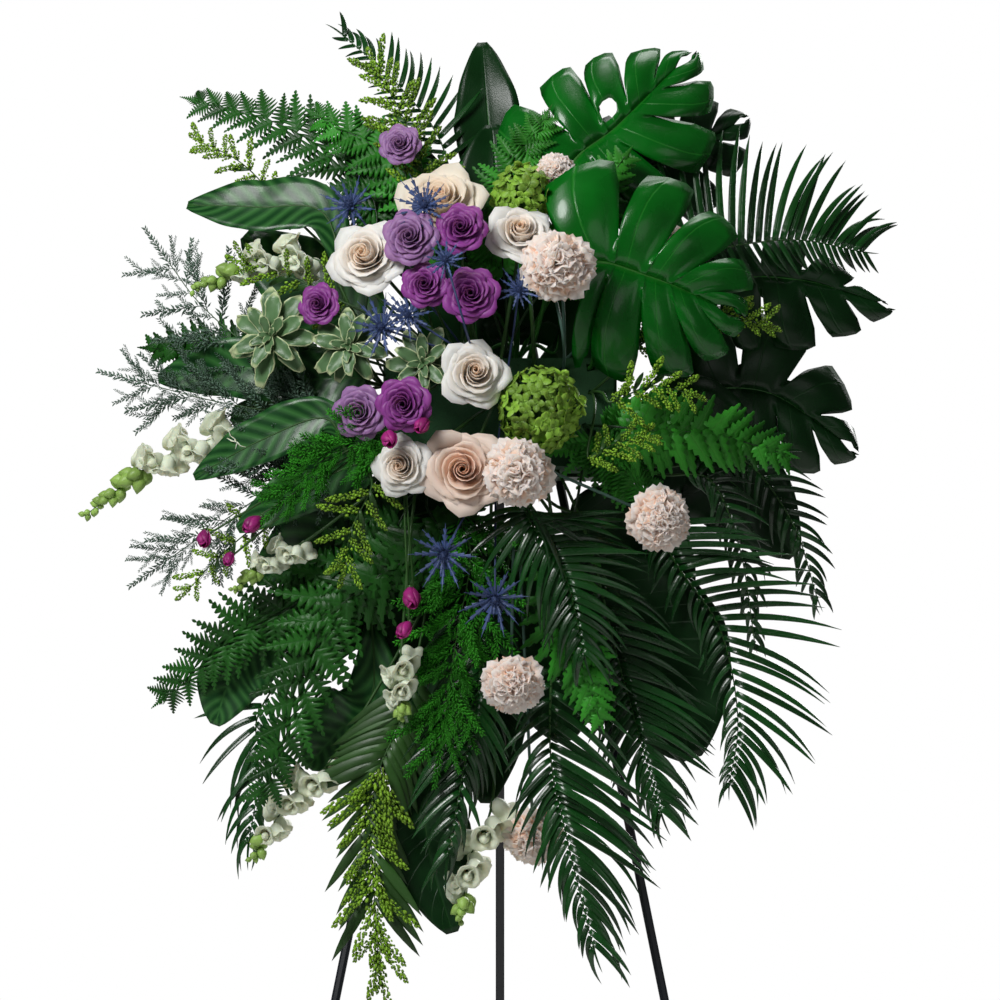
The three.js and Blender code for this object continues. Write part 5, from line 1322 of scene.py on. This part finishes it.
class SprayTints(PropertyGroup):
    """Colours of the flowers, the foliage and the easel."""

    bright_leaf: tint("Bright split leaves", "#045e12")
    # Nearly black: a dark leaf green with painted shade in it
    dark_leaf: tint("Dark leaves", "#082c0d")
    striped_leaf: tint("Feather-marked leaves", "#0f3f18")
    palm_leaf: tint("Palm fronds", "#0c3a10")
    fern_leaf: tint("Fern fronds", "#1c4f15")
    # Lighter fern green: partly a paler fern, partly painted light
    young_fern: tint("Pale fern fronds with painted light", "#2c7a20")
    asparagus: tint("Green asparagus", "#33881f")
    grey_asparagus: tint("Grey asparagus", "#56705f")
    goldenrod: tint("Goldenrod heads", "#759e26")
    snapdragon: tint("Snapdragon petals", "#e3ead0")
    sea_holly: tint("Sea holly bracts", "#33446f")
    pittosporum: tint("Pittosporum leaves", "#55764d")
    hydrangea: tint("Hydrangea florets", "#80ac38")
    white_petal: tint("White rose petals", "#faf6ee")
    rose_heart: tint("Heart of the pale roses", "#eccdb2")
    cream_petal: tint("Cream rose petals", "#f8e9d4")
    peach_petal: tint("Peach rose petals", "#f6dccc")
    purple_petal: tint("Purple rose petals", "#8c3a90")
    lavender_petal: tint("Lavender rose petals", "#9c70a6")
    magenta_petal: tint("Magenta buds", "#9b2072")
    carnation_petal: tint("Carnation petals", "#fbefe7")
    # Peach of the carnations' depth, darkened by painted shade
    carnation_peach_and_shade: tint("Depth of the carnations", "#efc0a4")
    easel: tint("Easel enamel", "#14181f")


class SpraySizes(PropertyGroup):
    """Sizes of the finer parts and of the studio."""

    ruffle: FloatProperty(
        name="Carnation ruffle", description="Depth of a carnation petal's waves, as a share of the usual",
        default=1.0, min=0, max=2, subtype="FACTOR",
    )
    rib: FloatProperty(
        name="Rib thickness", description="Radius of a leaf's rib at its tip", default=0.0005, min=0.0003,
        max=0.002, unit="LENGTH",
    )
    distance: FloatProperty(
        name="Camera distance", description="From the camera to the flowers", default=10, min=2, max=12,
        unit="LENGTH",
    )
    floor: FloatProperty(
        name="Floor radius", description="Radius of the pale floor", default=2.6, min=1, max=6, unit="LENGTH",
    )


# Making the pieces

FINISH = {}
# The top and middle ferns take the lighter fern finish, partly painted light
OWN_FINISH = {"dark_leaves_lower": "plain_leaf", "fern_top": "young_fern", "fern_centre": "young_fern"}
# How far down its stem the blade begins, as a share of the way back to the knee of the stem
EARLY = {"fern": 0.6, "asparagus": 0.5, "palm": 0.6, "goldenrod": 0.2}
WHOLE_EARLY = 0.5


def of_kind(*kinds):
    return [(node, *row) for node, row in LAYOUT.items() if row[0] in kinds]


def set_out(node, parts, *names):
    """Joins the parts of one piece and gives them their finishes."""
    if not parts:
        raise RuntimeError(f"nothing was made for {node}")
    Form.join(parts).piece(node, SLOT_OF[node], [FINISH[name] for name in names])


def leaf_row(sizes):
    """How a leaf is made, the way it faces and how early it begins: a row with lobes is a split leaf."""
    split = len(sizes) > 3
    yaw, pitch = sizes[3:] if split else (*sizes[2:], 0, 0)[:2]
    facing = Matrix.Rotation(math.radians(yaw), 3, "Z") @ FRONT
    facing = Matrix.Rotation(math.radians(pitch), 3, "X") @ facing
    return (split_leaf, facing, 0) if split else (whole_leaf, facing, WHOLE_EARLY)


def grow(kind, build, *more):
    """Makes the pieces of a kind whose blades grow along the runs of their stems."""
    tip = bpy.context.scene.spray_sizes.rib / MM
    for node, _, place, rows in of_kind(kind):
        parts = []
        for i, (points, layers, *sizes) in enumerate(rows):
            facing, early = FRONT, EARLY.get(kind, 0)
            if kind in ("monstera", "leaf"):
                build, facing, early = leaf_row(sizes)
            run = Run(place, points, layers, facing, early)
            parts.append(build(run, random.Random(f"{node}{i}"), *sizes))
            parts.append(stems([run.stem(STEM[kind], tip, i == 0)]).painted(1))
        set_out(node, parts, OWN_FINISH.get(node, SLOT_OF[node]), *more)
    return {"FINISHED"}


def bloom(kinds, build, low, scale, *more):
    """Makes the pieces whose heads sit on the ends of their own stems."""
    for node, kind, place, rows in of_kind(*kinds):
        parts = []
        for i, row in enumerate(rows):
            p, axis, size, roll = bloom_place(row)
            if kind == "bud":
                axis = (axis + Vector((0.5 * math.sin(row[0]), 0, -0.55))).normalized()
            head = build(random.Random(f"{node}{i}"), size)
            parts.append(head.copies([seat(p, axis, roll, size * scale)]))
            if place:
                parts.append(stems([bloom_line(place, row, low, STEM[kind], i == 0)]).painted(1))
        set_out(node, parts, SLOT_OF[node], *more)
    return {"FINISHED"}


def carry(node, carried, low, finish):
    """Makes the stems of blooms that are pieces of their own."""
    kind, place, _ = LAYOUT[node]
    first_rows = [rows[0] for *_, rows in of_kind(carried)]
    lines = [bloom_line(place, row, low, STEM[kind], i == 0) for i, row in enumerate(first_rows)]
    set_out(node, [stems(lines)], finish)


class SPRAY_OT_easel(Operator):
    """Finishes the enamelled easel, its rubber feet, the foam brick and its tray"""

    bl_idname = "spray.easel"
    bl_label = "Easel, feet, foam and tray"

    def execute(self, context):
        looks = {
            "easel_paint": enamelled_steel(context.scene.spray_tints),
            # Moulded rubber: near black, dull, with a fine dusty grain
            "foot_rubber": plain_stuff("moulded_rubber", "#15161a", 0.8, 1.5, 0.3),
            # Wet phenolic foam: dark green, dull, crumbly cells drawn 1.5 mm wide to show
            "wet_foam": plain_stuff("wet_floral_foam", "#1f4a28", 0.95, 1.5, 0.8, 0.55, 1.4),
            # Moulded polypropylene: dark green with a soft sheen
            "tray_plastic": plain_stuff("moulded_green_plastic", "#17351d", 0.45, 2.5, 0.1),
        }
        for node, slot in SLOT_OF.items():
            if slot in looks:
                for place in frame["nodes"][node].material_slots:
                    place.material = looks[slot]
        return {"FINISHED"}


class SPRAY_OT_split_leaves(Operator):
    """Makes the bright and dark split leaves, and the whole leaves in their bunches"""

    bl_idname = "spray.split_leaves"
    bl_label = "Split leaves"

    def execute(self, context):
        return grow("monstera", split_leaf, "leaf_rib")


class SPRAY_OT_whole_leaves(Operator):
    """Makes the plain dark leaves and the feather-marked leaves"""

    bl_idname = "spray.whole_leaves"
    bl_label = "Whole leaves"

    def execute(self, context):
        return grow("leaf", whole_leaf, "stem")


class SPRAY_OT_palms(Operator):
    """Makes the palm fronds"""

    bl_idname = "spray.palms"
    bl_label = "Palm fronds"

    def execute(self, context):
        return grow("palm", palm_frond, "stem")


class SPRAY_OT_ferns(Operator):
    """Makes the fern fronds"""

    bl_idname = "spray.ferns"
    bl_label = "Fern fronds"

    def execute(self, context):
        return grow("fern", fern_frond, "dark_stem")


class SPRAY_OT_asparagus(Operator):
    """Makes the needle foliage"""

    bl_idname = "spray.asparagus"
    bl_label = "Asparagus foliage"

    def execute(self, context):
        return grow("asparagus", asparagus_frond, "stem")


class SPRAY_OT_goldenrod(Operator):
    """Makes the goldenrod stems with their plumes and narrow leaves"""

    bl_idname = "spray.goldenrod"
    bl_label = "Goldenrod"

    def execute(self, context):
        return grow("goldenrod", goldenrod_stem, "stem")


class SPRAY_OT_snapdragons(Operator):
    """Makes the snapdragon spikes"""

    bl_idname = "spray.snapdragons"
    bl_label = "Snapdragons"

    def execute(self, context):
        return grow("snapdragon", snapdragon_spike, "stem", "snapdragon_bud")


class SPRAY_OT_hydrangeas(Operator):
    """Makes the green hydrangea heads"""

    bl_idname = "spray.hydrangeas"
    bl_label = "Hydrangea heads"

    def execute(self, context):
        return bloom(["hydrangea"], hydrangea_head, -0.4, 1, "stem")


class SPRAY_OT_roses(Operator):
    """Makes the pale roses and the stems that carry them"""

    bl_idname = "spray.roses"
    bl_label = "Roses"

    def execute(self, context):
        bloom(["rose"], large_rose, -0.55, 0.88, "stem")
        carry("rose_stems", "rose", -0.55, "stem")
        return {"FINISHED"}


class SPRAY_OT_spray_roses(Operator):
    """Makes the small purple and lavender roses"""

    bl_idname = "spray.spray_roses"
    bl_label = "Spray roses"

    def execute(self, context):
        return bloom(["spray_rose"], small_rose, -0.6, 0.94, "stem")


class SPRAY_OT_buds(Operator):
    """Makes the magenta rose buds"""

    bl_idname = "spray.buds"
    bl_label = "Rose buds"

    def execute(self, context):
        return bloom(["bud"], rose_bud, -0.5, 1.4, "stem")


class SPRAY_OT_carnations(Operator):
    """Makes the carnations and the stems that carry them"""

    bl_idname = "spray.carnations"
    bl_label = "Carnations"

    def execute(self, context):
        bloom(["carnation", "back_carnation"], carnation_head, -0.6, 0.95, "grey_stem")
        carry("carnation_stems", "carnation", -0.6, "grey_stem")
        return {"FINISHED"}


class SPRAY_OT_sea_holly(Operator):
    """Makes the blue sea holly heads"""

    bl_idname = "spray.sea_holly"
    bl_label = "Sea holly"

    def execute(self, context):
        return bloom(["holly"], sea_holly_head, -0.5, 1, "sea_holly_cone")


class SPRAY_OT_pittosporum(Operator):
    """Makes the cream-edged leaf rosettes"""

    bl_idname = "spray.pittosporum"
    bl_label = "Pittosporum"

    def execute(self, context):
        return bloom(["rosette"], leaf_rosette, 0, 1, "stem")


# Studio: name, place, width and power of each lamp, and the light from all round
LAMPS = (
    ("key", (-1.5, -2.4, 3.0), 1.3, 86), ("fill", (2.2, -2.6, 1.6), 1.8, 6),
    ("top", (0.5, 0.6, 3.2), 1.2, 16), ("back", (1.4, 2.8, 2.4), 1.8, 80),
)
ALL_ROUND = 0.06
FLOWERS = CENTRE + Vector((0, -0.11, 0))
FLOOR_DROP = 0.0005
# Sensor width in mm. A lens that long for each metre of distance sees a width of 1 m at the flowers
SENSOR = 36
CAMERA_HEIGHT = 1.2275


def lay_floor(scene, radius):
    """A pale floor just under the feet."""
    bm = bmesh.new()
    bmesh.ops.create_circle(bm, cap_ends=True, segments=96, radius=radius)
    bmesh.ops.translate(bm, verts=bm.verts[:], vec=(0, 0, -FLOOR_DROP))
    mesh = bpy.data.meshes.new("floor")
    bm.to_mesh(mesh)
    bm.free()
    floor = bpy.data.objects.new("floor", mesh)
    scene.collection.objects.link(floor)
    # Matt painted board, nearly even in colour
    mesh.materials.append(plain_stuff("pale_studio_floor", "#e9e8e5", 0.8, 40, 0.05, 0.97, 1.0))


def light_world(scene):
    """A dim light from all round, which the camera sees as white."""
    world = bpy.data.worlds.new("soft_studio")
    world.use_nodes = True
    tree = world.node_tree
    tree.nodes.clear()
    seen = add_node(tree, "LightPath", {}, "Is Camera Ray")
    around = add_node(tree, "Background", {"Color": (1, 1, 0.98, 1), "Strength": ALL_ROUND})
    behind = add_node(tree, "Background", {"Color": (1, 1, 1, 1), "Strength": 1.0})
    both = add_node(tree, "MixShader", {0: seen, 1: around, 2: behind})
    add_node(tree, "OutputWorld", {"Surface": both})
    scene.world = world
    scene.view_settings.view_transform = "Standard"


def hang_lamps(scene):
    for name, place, size, power in LAMPS:
        light = bpy.data.lights.new(name, "AREA")
        light.shape = "DISK"
        light.size = size
        light.energy = power
        lamp = bpy.data.objects.new(name, light)
        scene.collection.objects.link(lamp)
        lamp.location = place
        lamp.rotation_euler = (FLOWERS - Vector(place)).to_track_quat("-Z", "Y").to_euler()


def place_camera(scene, distance):
    """A camera straight in front, which sees the spray and the upper part of the easel."""
    camera = bpy.data.objects.new("camera", bpy.data.cameras.new("camera"))
    scene.collection.objects.link(camera)
    camera.data.sensor_width = SENSOR
    camera.data.lens = SENSOR * distance
    camera.data.clip_end = 50
    camera.location = (FLOWERS.x, FLOWERS.y - distance, CAMERA_HEIGHT)
    camera.rotation_euler = (math.pi / 2, 0, 0)
    scene.camera = camera


class SPRAY_OT_studio(Operator):
    """Sets the pale floor, the soft light and the camera"""

    bl_idname = "spray.studio"
    bl_label = "Studio"

    def execute(self, context):
        scene = context.scene
        lay_floor(scene, scene.spray_sizes.floor)
        light_world(scene)
        hang_lamps(scene)
        place_camera(scene, scene.spray_sizes.distance)
        return {"FINISHED"}


STEPS = (
    SPRAY_OT_studio, SPRAY_OT_easel, SPRAY_OT_split_leaves, SPRAY_OT_whole_leaves, SPRAY_OT_palms,
    SPRAY_OT_ferns, SPRAY_OT_asparagus, SPRAY_OT_goldenrod, SPRAY_OT_snapdragons, SPRAY_OT_hydrangeas,
    SPRAY_OT_roses, SPRAY_OT_spray_roses, SPRAY_OT_buds, SPRAY_OT_carnations, SPRAY_OT_sea_holly,
    SPRAY_OT_pittosporum,
)


class SPRAY_PT_panel(Panel):
    """Lists the sizes, the colours and the pieces of the spray"""

    bl_label = "Flower spray"
    bl_idname = "SPRAY_PT_panel"
    bl_space_type = "VIEW_3D"
    bl_region_type = "UI"
    bl_category = "Spray"

    def draw(self, context):
        column = self.layout.column()
        for group in (context.scene.spray_sizes, context.scene.spray_tints):
            for name in group.__annotations__:
                column.prop(group, name)
        for step in STEPS:
            column.operator(step.bl_idname)


CLASSES = (SprayTints, SpraySizes, *STEPS, SPRAY_PT_panel)


def register():
    for cls in CLASSES:
        bpy.utils.register_class(cls)
    bpy.types.Scene.spray_tints = PointerProperty(type=SprayTints)
    bpy.types.Scene.spray_sizes = PointerProperty(type=SpraySizes)


def unregister():
    del bpy.types.Scene.spray_sizes
    del bpy.types.Scene.spray_tints
    for cls in reversed(CLASSES):
        bpy.utils.unregister_class(cls)


def main():
    """Makes every piece in order."""
    register()
    tints = bpy.context.scene.spray_tints
    FINISH.update(leaf_finishes(tints) | flower_finishes(tints))
    for step in STEPS:
        group, name = step.bl_idname.split(".")
        getattr(getattr(bpy.ops, group), name)()


if __name__ == "__main__":
    main()
